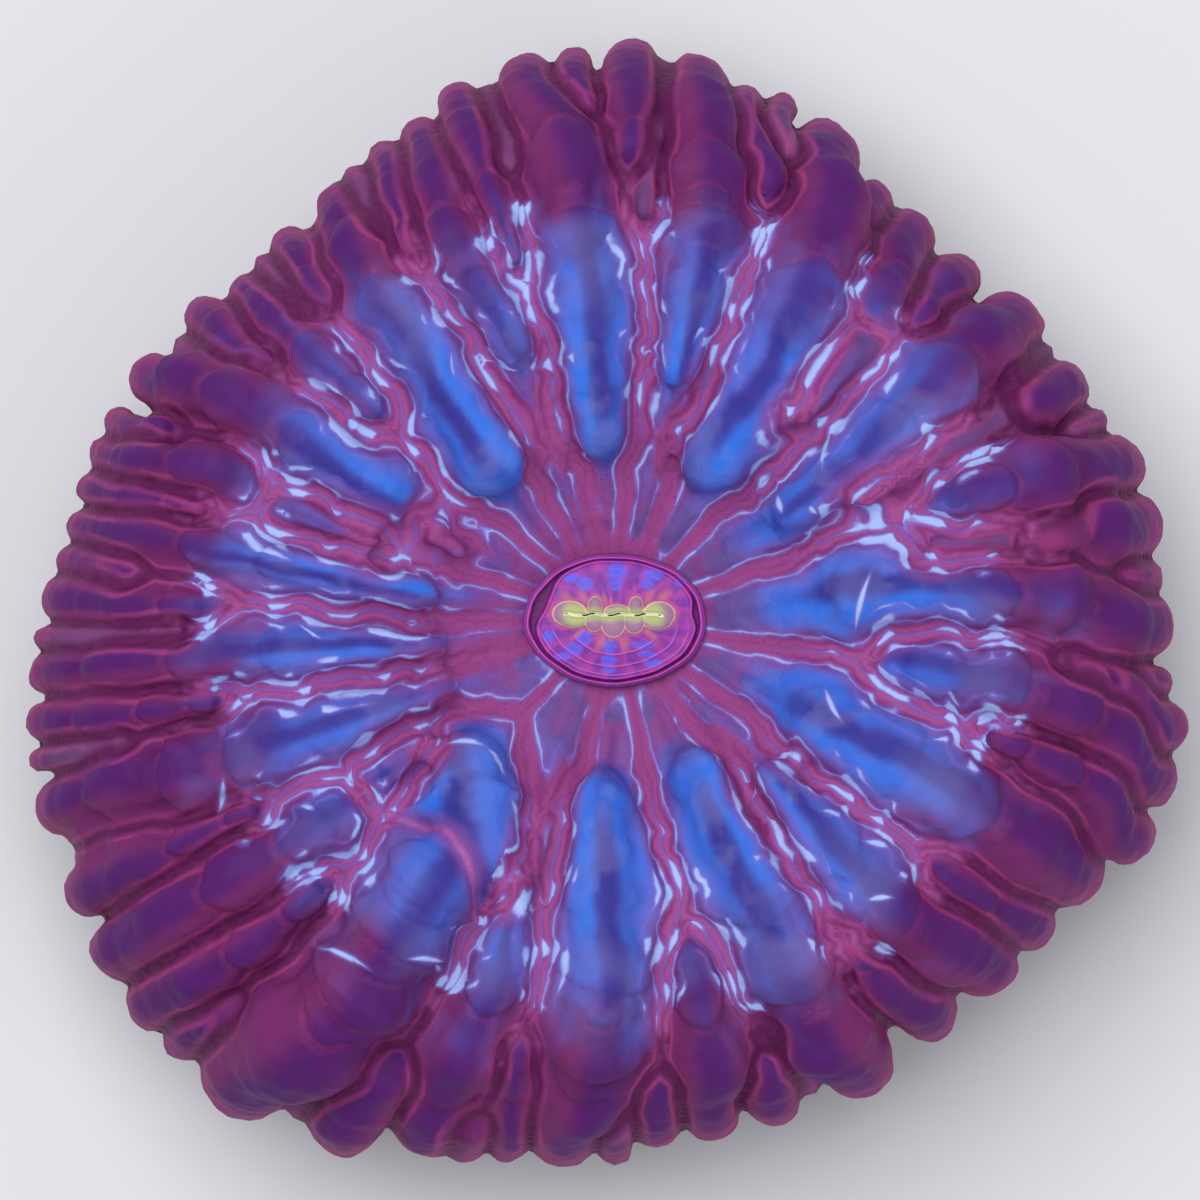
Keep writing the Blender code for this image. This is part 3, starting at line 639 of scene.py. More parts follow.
# Short pale arcs that lie across the lobes: (direction, distance) of both ends
cleft = {
    "arcs": (
        (-2.5, 13.1, 10, 14.1), (36.5, 14.0, 41.5, 15.6), (27.3, 12.4, 30.5, 12.2),
        (33, 10.6, 38, 11.2), (202.5, 23.0, 205.5, 23.9), (227.5, 23.9, 234.5, 23.0),
        (238.5, 21.4, 243.5, 20.7), (215.5, 11.3, 224, 9.9), (224, 9.9, 235, 10.3),
        (240, 11.2, 246, 12.8), (312, 20.4, 315, 21.2), (336, 13.4, 342, 12.0),
    ),
    "bow": 0.12,
    "farAway": 9.0,
    "reachAlong": 1.5,      # in half lengths
    "reachAside": 1.2,
    "leastHeight": 12.0,
}


def cleftFields(points):    # along the nearest arc, 1 at its ends, and millimetres to its side
    share = np.full(len(points), cleft["farAway"])
    aside = np.full(len(points), cleft["farAway"])
    for turnA, farA, turnB, farB in cleft["arcs"]:
        ends = np.array([aroundAxis(turnA, farA, 0)[:2], aroundAxis(turnB, farB, 0)[:2]])
        half = (ends[1] - ends[0]) / 2
        long = np.linalg.norm(half)
        offset = points[:, :2] - ends.mean(0)
        u = offset @ half / long ** 2
        v = (offset @ (-half[1], half[0])) / long - cleft["bow"] * long * (1 - u * u)
        near = (np.abs(u) < cleft["reachAlong"]) & (np.abs(v) < cleft["reachAside"])
        near &= (points[:, 2] > cleft["leastHeight"]) & (np.abs(v) < np.abs(aside))
        share[near] = np.abs(u[near])
        aside[near] = v[near]
    return {"cleftAlong": share, "cleftAside": aside}


def smoothStep(value, ends):    # 0 below the first end, 1 above the second, smooth between
    low, high = ends
    t = np.clip((value - low) / (high - low), 0, 1)
    return t * t * (3 - 2 * t)


def around(value, place, ends):    # 1 at a place, and 0 well away from it
    return 1 - smoothStep(np.abs(value - place), ends)


def bell(value, width):
    return np.exp(-(value / width) ** 2)


clouds = {
    "broad": (0.22, 3, 0), "cloud": (0.7, 3, 0), "slow": (0.3, 1, 50),    # (scale, rounds, offset)
    "fade": 0.6,
    "finer": 2.0,
}


def cloudy(points, kind):    # soft noise at each point, about 0 to 1
    scale, rounds, offset = clouds[kind]
    values = np.array([noise.fractal(Vector(point) * scale, clouds["fade"], clouds["finer"], rounds)
                       for point in points + offset])
    return 0.5 + 0.5 * values


# The lobes' colours. Pairs are the ends of soft changes. Places and widths across a lobe are 0 in its middle
# and 1 at its side; distances out from the mouth and heights are in millimetres.
paint = {
    "innerTo": (14.5, 25.0), "innerPlay": 9.0,    # the blue inner part, and how far clouds move its end
    "glowFrom": (6.8, 9.4), "glowPlay": 8.0,
    "bend": 0.12,           # how much clouds bend what lies along a lobe
    "flankPlay": 0.3, "flank": (0.2, 0.8),
    "litFlank": 0.4, "brightWide": (0.1, 0.6),      # the blue window in the flank painted as lit, a painted lit side
    "shadedFlank": -0.66, "fainterWide": (0.05, 0.42), "fainterShare": 0.65,    # the one in the other flank, weaker as if in shade: painted shade
    "dark": -0.14, "darkWide": (0.1, 0.42),       # the indigo line between them
    "darkFrom": (9.0, 13.0), "darkTo": (18.0, 25.0), "darkShare": 0.8, "leastDark": 0.3,
    "foot": (0.1, 0.9), "footTo": (12.0, 20.0), "footShare": 0.8,    # blue on the foot of a lobe
    "broadShare": 0.5, "cloudShare": 0.25, "plainShare": 0.5,        # how cloudy the windows are
    "veil": (0.78, 1.0), "veilShare": 0.35,       # grey clouds over the inner part
    "haze": 19.8, "hazeWide": 2.8,                # and in a ring near its end
    "hazeClouds": (0.42, 0.62), "hazeShare": 0.4,
    "edgeGlow": (0.0, 0.5), "bandWide": 0.5, "foldBand": 0.4,            # the pink edge of a lobe, a painted rim glow
    "bandLess": 0.1, "bandLessFrom": (18.0, 24.0),
    "tips": (19.0, 24.0), "arcShare": 0.15,       # painted highlight lines across the waists, and painted shade past them
    "shade": (0.1, 1.4), "shadeShare": 0.25,
    "disc": (5.8, 9.2), "discPlay": 2.0, "discShare": 0.88, "dusk": (0.42, 0.62),
    "outer": (21.0, 24.5), "outerPlay": 4.0,      # where the streams turn into creases darkened by painted shade
    "strands": (7.0, 13.0), "leastStrands": 0.35,
    "lit": 0.2, "leastLit": 0.08,                 # a painted highlight line beside the creases
    "litFrom": (17.0, 23.0), "litAbove": (9.0, 14.0), "litClouds": (0.4, 0.6),
    "wall": (9.0, 17.0), "wallShare": 0.5,
    "rimGlowBelt": 11.4, "brimHigh": 2.0, "brimEdge": (-0.4, 0.0), "brimShare": 0.28,    # a painted rim glow: a lighter pink belt round it
    "dullAbove": (11.0, 17.0), "dullFrom": (16.0, 21.0), "dullShare": 0.7,        # the folds between tips
}


def lobeMasks(field):    # soft masks for the lobes' colours, among them a painted lit flank, painted rim glow and painted shade
    radius, edge = field["radius"], field["edge"]
    broad, cloud, slow = field["broad"], field["cloud"], field["slow"]
    across, side, blue, low = field["across"], field["side"], field["blue"], field["low"]
    bent = across + (cloud - 0.5) * paint["bend"]
    towardLit = bent * np.where(side < 0, -1, 1)
    inner = 1 - smoothStep(radius + (broad - 0.5) * paint["innerPlay"], paint["innerTo"])
    glow = blue * (1 - smoothStep(radius + (broad - 0.5) * paint["glowPlay"], paint["innerTo"]))
    glow = glow * smoothStep(radius, paint["glowFrom"])
    # the blue window is strongest on the flank painted as lit, a painted lit side
    litFlank = around(towardLit, paint["litFlank"], paint["brightWide"])
    shadedFlank = around(towardLit, paint["shadedFlank"], paint["fainterWide"])
    litFlank = np.maximum(litFlank, paint["fainterShare"] * shadedFlank)
    dark = around(towardLit, paint["dark"], paint["darkWide"]) * smoothStep(radius, paint["darkFrom"])
    foot = smoothStep(-edge, paint["foot"]) * (1 - smoothStep(radius, paint["footTo"]))
    window = np.maximum(litFlank, paint["footShare"] * foot * (1 - dark))
    uneven = broad * paint["broadShare"] + cloud * paint["cloudShare"] + paint["plainShare"]
    deep = dark * (1 - smoothStep(radius, paint["darkTo"])) * np.clip(blue, paint["leastDark"], 1)
    veil = smoothStep(broad + cloud * 0.5, paint["veil"]) * inner * paint["veilShare"]
    haze = bell(radius - paint["haze"], paint["hazeWide"]) * smoothStep(slow, paint["hazeClouds"])
    veil = np.maximum(veil, haze * blue * paint["hazeShare"]) * np.clip(1 - across ** 2, 0, 1)
    bandWide = paint["bandWide"] - paint["bandLess"] * smoothStep(radius, paint["bandLessFrom"])
    tips = smoothStep(radius, paint["tips"]) * (1 - low)
    shade = field["outside"] * (1 - smoothStep(field["waist"], paint["shade"]))
    toDisc = smoothStep(radius + (cloud - 0.5) * paint["discPlay"], paint["disc"])
    return {
        "inner": inner,
        # the lighter flank leans to the side painted as lit
        "flankShare": smoothStep(np.abs(bent + side * paint["flankPlay"]), paint["flank"]),
        "window": window * glow * np.clip(uneven, 0, 1),
        "deep": deep * paint["darkShare"],
        "veil": veil,
        "edgeGlow": smoothStep(edge + bandWide, paint["edgeGlow"]) * (1 - paint["foldBand"] * low),
        "arcShare": tips * paint["arcShare"],
        "shade": shade * tips * paint["shadeShare"],
        "toDisc": paint["discShare"] - paint["discShare"] * toDisc,
        "dusk": smoothStep(broad, paint["dusk"]),
    }


def outerMasks(field):    # the same for the streams and the painted shade of their creases, the tips' edges and their painted highlight lines, the folds, and the wall with its painted rim-glow belt
    radius, height, low = field["radius"], field["height"], field["low"]
    strands = (1 - paint["leastStrands"]) * smoothStep(radius, paint["strands"])
    lit = paint["leastLit"] + paint["lit"] * smoothStep(field["broad"], paint["litClouds"])
    rimGlowBelt = bell(height - paint["rimGlowBelt"], paint["brimHigh"]) * paint["brimShare"]
    dull = low * paint["dullShare"] * smoothStep(height, paint["dullAbove"])
    return {
        "outer": smoothStep(radius + (field["cloud"] - 0.5) * paint["outerPlay"], paint["outer"]),
        "strands": paint["leastStrands"] + strands,
        "lit": smoothStep(radius, paint["litFrom"]) * smoothStep(height, paint["litAbove"]) * lit,
        "wallShare": (1 - smoothStep(height, paint["wall"])) * paint["wallShare"],
        "rimGlowBelt": rimGlowBelt * (1 - smoothStep(field["edge"], paint["brimEdge"])),
        "dull": dull * smoothStep(radius, paint["dullFrom"]),
    }


# The pale streaks along the streams, in millimetres. Each of the three kinds swells in its own beat:
# (shift, lean over the lobe's flanks, soft ends, width, what is taken off).
streaks = {
    "edge": (0.0, 0.5, (-0.3, 1.0), 0.21, 0.03),
    "middle": (0.8, 0.0, (0.0, 1.0), 0.21, 0.05),
    "beside": (0.3, -0.6, (0.2, 1.0), 0.18, 0.06),
    "beats": 1.9, "beatPlay": 8.0,
    "sway": 0.14, "swayShift": 0.6, "swayFrom": (4.5, 9.0),
    "flank": 1.8,
    "backLess": 0.3, "tightLess": 0.3, "foldLess": 0.3,    # narrower on a lobe's back, in seams and on folds
    "end": (21.0, 24.0), "endPlay": 9.0, "endLess": 0.5,
    "strong": (0.3, 0.6), "strongFrom": (8.0, 15.0), "leastStrong": 0.45,
    "near": (8.5, 11.0), "nearLess": 0.2,         # near the mouth there are fine even lines instead
    "line": (0.25, 0.6), "lineWide": 0.045, "lineFrom": (5.0, 8.0), "lineMore": 0.06, "lineLess": 0.075,
    "besideAt": 17.5, "besideWide": (3.0, 6.0), "besideLess": 0.4,    # the third kind lies in a ring only
}


def streakWidths(field):    # half widths of the three kinds, below 0 where there is none, and their sway
    radius, slow, low = field["radius"], field["slow"], field["low"]
    flank = np.clip(field["across"] * streaks["flank"], -1, 1)
    blunt = (1 - np.abs(flank)) * streaks["backLess"] + streaks["tightLess"] * field["tight"]
    blunt += streaks["endLess"] * smoothStep(radius - (slow - 0.5) * streaks["endPlay"], streaks["end"])
    beat = radius * streaks["beats"] + field["broad"] * streaks["beatPlay"]
    least = streaks["leastStrong"]
    strong = 0.5 + 0.5 * smoothStep(slow, streaks["strong"])
    strong = strong * (least + (1 - least) * smoothStep(radius, streaks["strongFrom"]))
    sway = np.sin(beat + streaks["swayShift"]) * streaks["sway"] * smoothStep(radius, streaks["swayFrom"])
    wide = {}
    for kind in ("edge", "middle", "beside"):
        shift, lean, ends, width, less = streaks[kind]
        wide[kind] = smoothStep(np.sin(beat + shift + flank * lean), ends) * strong * width - less
    near = 1 - smoothStep(radius, streaks["near"])
    line = streaks["lineWide"] * smoothStep(slow, streaks["line"])
    line = line + streaks["lineMore"] * smoothStep(radius, streaks["lineFrom"]) - streaks["lineLess"]
    away = smoothStep(np.abs(radius - streaks["besideAt"]), streaks["besideWide"])
    return {
        "sway": sway,
        "shift": flank * sway,
        "edgeWide": np.maximum(wide["edge"], near * line) - blunt - low * streaks["foldLess"],
        "middleWide": wide["middle"] - blunt - near * streaks["nearLess"],
        "besideWide": wide["beside"] - blunt - away * streaks["besideLess"],
    }


# How the skin is carved, in millimetres along the normal
carving = {
    "lumps": 0.5, "grain": 0.12, "onLobe": (-0.5, 0.0),    # soft ends are measured from a stream's edge
    "waistPast": 0.75, "waistBefore": 0.22, "waist": 0.08, "outerWaist": 0.3, "outer": (14.0, 23.0),
    "stream": (-0.3, 0.1), "streamDepth": 0.12,
    "strands": 0.04, "strandStep": 0.85, "strandReach": 2.0,
    "strandsFrom": (9.0, 12.0), "strandsTo": (21.0, 24.0),
    "ribs": 44, "ribHeight": 0.04, "ribPlay": 6.0, "leastRib": 0.4,
    "ribsFrom": (5.2, 7.0), "ribsTo": (9.5, 12.0),
    "above": (0.3, 1.5),    # none of it at the foot
}


def relief(points, field):    # how far each point moves
    radius = field["radius"]
    turn = np.arctan2(points[:, 1], points[:, 0])
    lumps = field["broad"] - 0.5
    onLobe = 1 - smoothStep(field["edge"], carving["onLobe"])
    height = carving["lumps"] * lumps * onLobe + carving["grain"] * (field["cloud"] - 0.5)
    past = np.exp(-field["waist"] / carving["waistPast"])
    fold = np.where(field["outside"] > 0.5, past, bell(field["waist"], carving["waistBefore"]))
    depth = carving["waist"] + carving["outerWaist"] * smoothStep(radius, carving["outer"])
    height -= depth * fold * onLobe * (1 - field["low"])
    stream = smoothStep(field["edge"], carving["stream"])
    height -= carving["streamDepth"] * stream
    strands = stream * (1 - smoothStep(radius, carving["strandsTo"]))
    strands = strands * smoothStep(radius, carving["strandsFrom"])
    gap = np.clip(field["gap"], 0, carving["strandReach"])
    height += carving["strands"] * strands * np.cos(gap * 2 * np.pi / carving["strandStep"])
    least = carving["leastRib"]
    ribs = smoothStep(radius, carving["ribsFrom"]) * (1 - smoothStep(radius, carving["ribsTo"]))
    ribs = ribs * (least + (1 - least) * stream)
    height += carving["ribHeight"] * ribs * np.sin(turn * carving["ribs"] + carving["ribPlay"] * lumps)
    return height * smoothStep(points[:, 2], carving["above"])


def coordinates(mesh, kind="co"):
    flat = np.empty(len(mesh.vertices) * 3)
    mesh.vertices.foreach_get(kind, flat)
    return flat.reshape(-1, 3)


def storeFields(mesh, fields):
    for name, values in fields.items():
        layer = mesh.attributes.new(name, "FLOAT", "POINT")
        layer.data.foreach_set("value", values.astype(np.float32))


def fusedTubes(lobes, material):    # the body and all the lobes as one closed skin
    base = turnedBody(lobes)
    lines = lobeCurves([path for *_, path in lobes])
    nodes = lines.modifiers.new("tubes", "NODES")
    nodes.node_group = tubeTree(material)
    setInputs(nodes, {"Body": base, "Step": lobe["step"] * mm, "Sides": lobe["sides"],
                      "Unevenness": lobe["unevenness"], "Flesh": material})
    print("lobes:", len(lobes))
    piece = link(bpy.data.objects.new("polypFlesh", evaluated(lines)))
    bpy.data.objects.remove(lines)
    bpy.data.objects.remove(base)
    fuse = piece.modifiers.new("fused", "REMESH")
    fuse.mode = "VOXEL"
    fuse.voxel_size = body["voxel"] * mm
    calm = piece.modifiers.new("calmed", "SMOOTH")
    calm.factor = body["smoothShare"]
    calm.iterations = body["smoothRounds"]
    mesh = evaluated(piece)
    piece.modifiers.clear()
    cutFoot(mesh)
    piece.data = mesh
    print("fused:", len(mesh.polygons), "faces")
    thinWall(piece)
    print("thinned:", len(piece.data.polygons), "faces")
    return piece


def makePolyp(material):
    lobes = []
    for kind in lobe["rise"]:
        for blue, side, swellings in lobe[kind]:
            path = smoothPath(lobePath(swellings, lobe["rise"][kind], kind == "main"))
            lobes.append((blue, side, kind, path))
    piece = fusedTubes(lobes, material)
    mesh = piece.data
    points = coordinates(mesh) / mm
    field = lobeFields(points, lobes)
    for kind in ("broad", "cloud", "slow"):
        field[kind] = cloudy(points, kind)
    print("fields worked out")
    inMouth = np.hypot(points[:, 0] / mouth["halfLong"], points[:, 1] / mouth["halfHigh"])
    sunk = (1 - smoothStep(inMouth, mouth["bed"])) * (points[:, 2] > mouth["bedFrom"])
    moved = points + coordinates(mesh, "normal") * relief(points, field)[:, None]
    moved[:, 2] -= mouth["bedDepth"] * sunk
    moved[:, 2] = np.maximum(moved[:, 2], 0)
    mesh.vertices.foreach_set("co", (moved * mm).ravel())
    storeFields(mesh, {name: field[name] for name in ("edge", "lane", "gap", "waist", "blue", "tight")})
    for fields in (cleftFields(points), lobeMasks(field), outerMasks(field), streakWidths(field)):
        storeFields(mesh, fields)
    mesh.materials.clear()
    mesh.materials.append(material)
    mesh.shade_smooth()
    mesh.update()
    return piece


# The mouth: an oval rim, folds and two lobed lips. Places are in millimetres from its middle, and the
# rim's lines lie at shares of the oval's half lengths.
mouth = {
    "halfLong": 4.78, "halfHigh": 3.46, "level": 16.35, "rings": 110, "turns": 260,
    "bed": (0.84, 1.0), "bedDepth": 1.6, "bedFrom": 10.0,    # how the flesh gives way under it
    "waves": ((5, 0.008, 1.0), (13, 0.004, 0.0)),    # of the oval: (count, height, shift)
    "lowHalf": (-0.1, 0.4),
    "rimWide": 0.017, "inner": 0.955, "innerLow": 0.015, "secondIn": 0.02, "secondWide": 0.013,
    "left": (2.85, 0.42, 0.13), "right": (0.1, 0.2, 0.05),    # where the gap, darkened as a painted shadow of the rim, is broader, in radians
    "gapEdge": 0.02, "gapTo": (0.965, 0.985),
    "folds": ((0.865, 0.013), (0.73, 0.013)), "shortFold": (0.54, 0.014), "shortFoldTo": (1.9, 2.5),
    "lips": (
        (-2.5, 0.36, 0.98, 0.72), (2.42, 0.3, 0.92, 0.74), (-2.3, -0.02, 0.8, 0.42),
        (2.3, -0.08, 0.85, 0.46), (-1.15, -0.02, 0.52, 0.64), (-0.1, -0.12, 0.72, 0.86),
        (1.05, -0.06, 0.6, 0.7), (-1.1, 0.72, 0.42, 0.62), (0.1, 0.45, 0.75, 0.42), (1.15, 0.72, 0.42, 0.62),
    ),    # rounded lumps: (x, y, half length, half width)
    "leastLip": -3.0, "leastPatch": -1.0,
    "slitLevel": 0.31, "slitLeft": -2.95, "slitRight": 2.76, "slitWide": 0.085,
    "slitWaves": ((4.2, 0.045), (9.0, 0.02)),
    "slitEnd": (0.3, 0.0), "besideEnd": (0.6, 0.5),    # soft length of the ends, and how far they run past
    "besideWide": 0.45, "besideMore": 0.4, "besideFrom": (1.4, 2.1),
    "patches": (
        (-2.35, 2.3, 0.45, 0.26), (-1.65, 2.0, 0.42, 0.36), (0.1, 2.62, 0.5, 0.5), (0.05, 1.95, 0.32, 0.3),
        (2.1, 2.5, 0.5, 0.34), (1.75, 2.0, 0.34, 0.3), (3.6, 2.1, 0.3, 0.25), (-2.3, -1.6, 0.48, 0.34),
        (-1.7, -0.98, 0.42, 0.36), (-0.3, -1.45, 0.36, 0.34), (-0.35, -2.2, 0.4, 0.34),
        (-0.35, -2.75, 0.36, 0.14), (1.5, -1.35, 0.6, 0.2), (1.75, -1.85, 0.5, 0.16), (2.1, -2.35, 0.5, 0.2),
        (-2.9, -2.0, 0.4, 0.16), (-3.6, -0.9, 0.35, 0.3),
    ),    # blue windows: (x, y, half length, half width)
    "rays": (
        (-0.55, 1.05, 0.16), (-0.2, 0.8, 0.1), (0.85, 0.9, 0.16), (-1.7, 1.2, 0.3), (1.9, 1.3, 0.3),
        (2.6, 1.25, 0.4), (-2.6, 1.15, 0.35), (-0.75, -1.15, 0.35), (0.5, -1.25, 0.3), (1.9, -0.75, 0.35),
        (-1.9, -0.6, 0.25),
    ),    # orange rays: (x, y, half width)
    "rayLean": 0.3, "rayLong": 0.55,
    "sunk": 0.12, "dome": 0.35, "domeTo": (0.3, 0.9),
    "rimHigh": 0.22, "secondHigh": 0.14, "foldHigh": 0.08, "gapDeep": 0.35,
    "lipHigh": 0.4, "lipLess": 0.35, "slitDeep": 0.4,
    "drop": 3.0, "dropFrom": (1.04, 1.14), "over": 1.15,    # its edge, sunk in the flesh
    "skirt": 1.0, "bottom": 4.5,
}


def lumpsAt(x, y, spots, least):    # 1 in the middle of each rounded spot, 0 on its edge
    height = np.full_like(x, least)
    for atX, atY, long, wide in spots:
        height = np.maximum(height, 1 - ((x - atX) / long) ** 2 - ((y - atY) / wide) ** 2)
    return height


def alongSlit(x, ends):    # 1 along the slit, 0 past its ends
    soft, past = ends
    left = smoothStep(x, (mouth["slitLeft"] - past, mouth["slitLeft"] + soft))
    return left * (1 - smoothStep(x, (mouth["slitRight"] - soft, mouth["slitRight"] + past)))


def mouthFields(x, y):
    oval = np.hypot(x / mouth["halfLong"], y / mouth["halfHigh"])
    turn = np.arctan2(y / mouth["halfHigh"], x / mouth["halfLong"])
    for count, height, shift in mouth["waves"]:
        oval = oval + height * np.sin(count * turn + shift)
    lowHalf = smoothStep(-np.sin(turn), mouth["lowHalf"])
    leftAt, leftWide, leftShare = mouth["left"]
    rightAt, rightWide, rightShare = mouth["right"]
    left = bell(turn - leftAt + 2 * np.pi * (turn < -1), leftWide)
    right = bell(turn - rightAt, rightWide)
    inner = mouth["inner"] - leftShare * left - rightShare * right - mouth["innerLow"] * lowHalf
    gap = smoothStep(oval, (inner, inner + mouth["gapEdge"])) * (1 - smoothStep(oval, mouth["gapTo"]))
    at, wide = mouth["shortFold"]
    folds = bell(oval - at, wide) * lowHalf * (1 - smoothStep(np.abs(x), mouth["shortFoldTo"]))
    for at, wide in mouth["folds"]:
        folds = np.maximum(folds, bell(oval - at, wide) * lowHalf)
    slitLine = y - mouth["slitLevel"]
    for often, height in mouth["slitWaves"]:
        slitLine = slitLine - height * np.sin(x * often)
    beside = mouth["besideWide"] + mouth["besideMore"] * smoothStep(np.abs(x), mouth["besideFrom"])
    glow = np.zeros_like(x)
    for atX, atY, wide in mouth["rays"]:
        lean = 1 - mouth["rayLean"] + mouth["rayLean"] * y / atY
        glow = np.maximum(glow, bell(x - atX * lean, wide) * bell(y - atY, mouth["rayLong"]))
    return {
        "oval": oval,
        "rim": bell(oval - 1.0, mouth["rimWide"]),
        "second": bell(oval - inner + mouth["secondIn"], mouth["secondWide"]),
        "folds": folds,
        "gap": gap,
        "lip": lumpsAt(x, y, mouth["lips"], mouth["leastLip"]),
        "patch": lumpsAt(x, y, mouth["patches"], mouth["leastPatch"]),
        "slit": bell(slitLine, mouth["slitWide"]) * alongSlit(x, mouth["slitEnd"]),
        "slitNear": bell(slitLine, beside) * alongSlit(x, mouth["besideEnd"]),
        "glow": glow,
    }


def mouthHeight(field):
    oval = field["oval"]
    lump = np.sqrt(np.clip(field["lip"], 0, 1))
    height = mouth["level"] - mouth["sunk"] + mouth["dome"] * (1 - smoothStep(oval, mouth["domeTo"]))
    height += mouth["rimHigh"] * field["rim"] + mouth["secondHigh"] * field["second"]
    height += mouth["foldHigh"] * field["folds"] - mouth["gapDeep"] * field["gap"]
    height += mouth["lipHigh"] * lump * (1 - mouth["lipLess"] * field["slitNear"])
    height -= mouth["slitDeep"] * field["slit"]
    return height - mouth["drop"] * smoothStep(oval, mouth["dropFrom"])


def makeMouth(material):
    share = np.linspace(0, mouth["over"], mouth["rings"] + 1)[1:]
    angle = np.linspace(0, 2 * np.pi, mouth["turns"], endpoint=False)
    x = mouth["halfLong"] * np.outer(np.cos(angle), share)
    y = mouth["halfHigh"] * np.outer(np.sin(angle), share)
    points = np.stack([x, y, mouthHeight(mouthFields(x, y))], axis=2)
    points = np.concatenate([points, points[:, -1:] - (0, 0, mouth["skirt"])], axis=1)
    middle = mouthHeight(mouthFields(np.zeros(1), np.zeros(1)))[0]
    mesh = closedMesh("mouth", points, middle, mouth["level"] - mouth["bottom"])
    points = coordinates(mesh) / mm
    storeFields(mesh, mouthFields(points[:, 0], points[:, 1]))
    mesh.materials.append(material)
    mesh.shade_smooth()
    return link(bpy.data.objects.new("mouth", mesh))


# The flesh's colours and grains, and the soft ends of its lines, which are in millimetres
flesh = {
    "settings": {"Roughness": 0.55, "Specular IOR Level": 0.08, "Sheen Weight": 0.05, "Sheen Roughness": 0.3,
                 "Sheen Tint": (1.0, 0.16, 0.5, 1.0)},
    "core": tint(86, 32, 108), "flank": tint(118, 44, 104), "innerCore": tint(78, 70, 156),
    "innerFlank": tint(114, 100, 184), "azure": tint(48, 120, 234), "indigo": tint(52, 50, 142),
    "edgeGlowTint": tint(132, 48, 104), "pinkHighlight": tint(208, 84, 144), "creaseShade": tint(82, 18, 70),
    # the three tints on the next line are a painted rim glow, a pink for painted highlights and painted
    # shade
    "stream": tint(152, 70, 134), "innerEdgeGlow": tint(126, 78, 156), "streamLine": tint(130, 50, 112),
    "streamLight": tint(184, 98, 156), "streak": tint(172, 194, 250), "fringe": tint(126, 110, 206),
    "disc": tint(142, 68, 132), "discDusk": tint(106, 80, 146), "speck": tint(70, 22, 70),
    "seam": tint(196, 116, 190), "low": tint(112, 74, 122), "grey": tint(122, 118, 178),
    "wall": tint(112, 38, 96),
    "fine": (2.6, 2.0), "grit": (9.0, 1.0),    # grains: (scale, detail)
    "edgePlay": 0.05,
    "arcWide": (0.0, 0.3),
    "between": (0.18, 0.32),    # where the lane changes sides away from a stream's middle
    "lines": 15.0, "linePlay": 2.5, "lineEnds": (-0.2, 0.9), "lineShare": 0.65,
    "lightEnds": (0.4, 1.0), "lightShare": 0.25,
    "creaseShare": 0.85, "creaseWider": 0.12,
    "streamOver": 0.1, "streamEnds": (0.0, 0.22),
    "besideAt": 0.5,
    "cleftWide": 0.13, "cleftTaper": 0.17,
    "lensPlay": 0.03, "fringeEnds": (-0.24, 0.03), "fringeShare": 0.6, "streakEnds": (-0.07, 0.08),
    "rimLightAt": 0.4, "rimLightWide": (0.02, 0.13), "rimLightOff": (-0.2, 0.0),
    "seamWide": (0.0, 0.15), "seamShare": 0.45,
    "speckEnds": (0.66, 0.74), "speckTo": (9.0, 12.0), "speckShare": 0.6,
    "bump": 0.3, "bumpDepth": 0.0002, "bumpShare": 0.6,
}


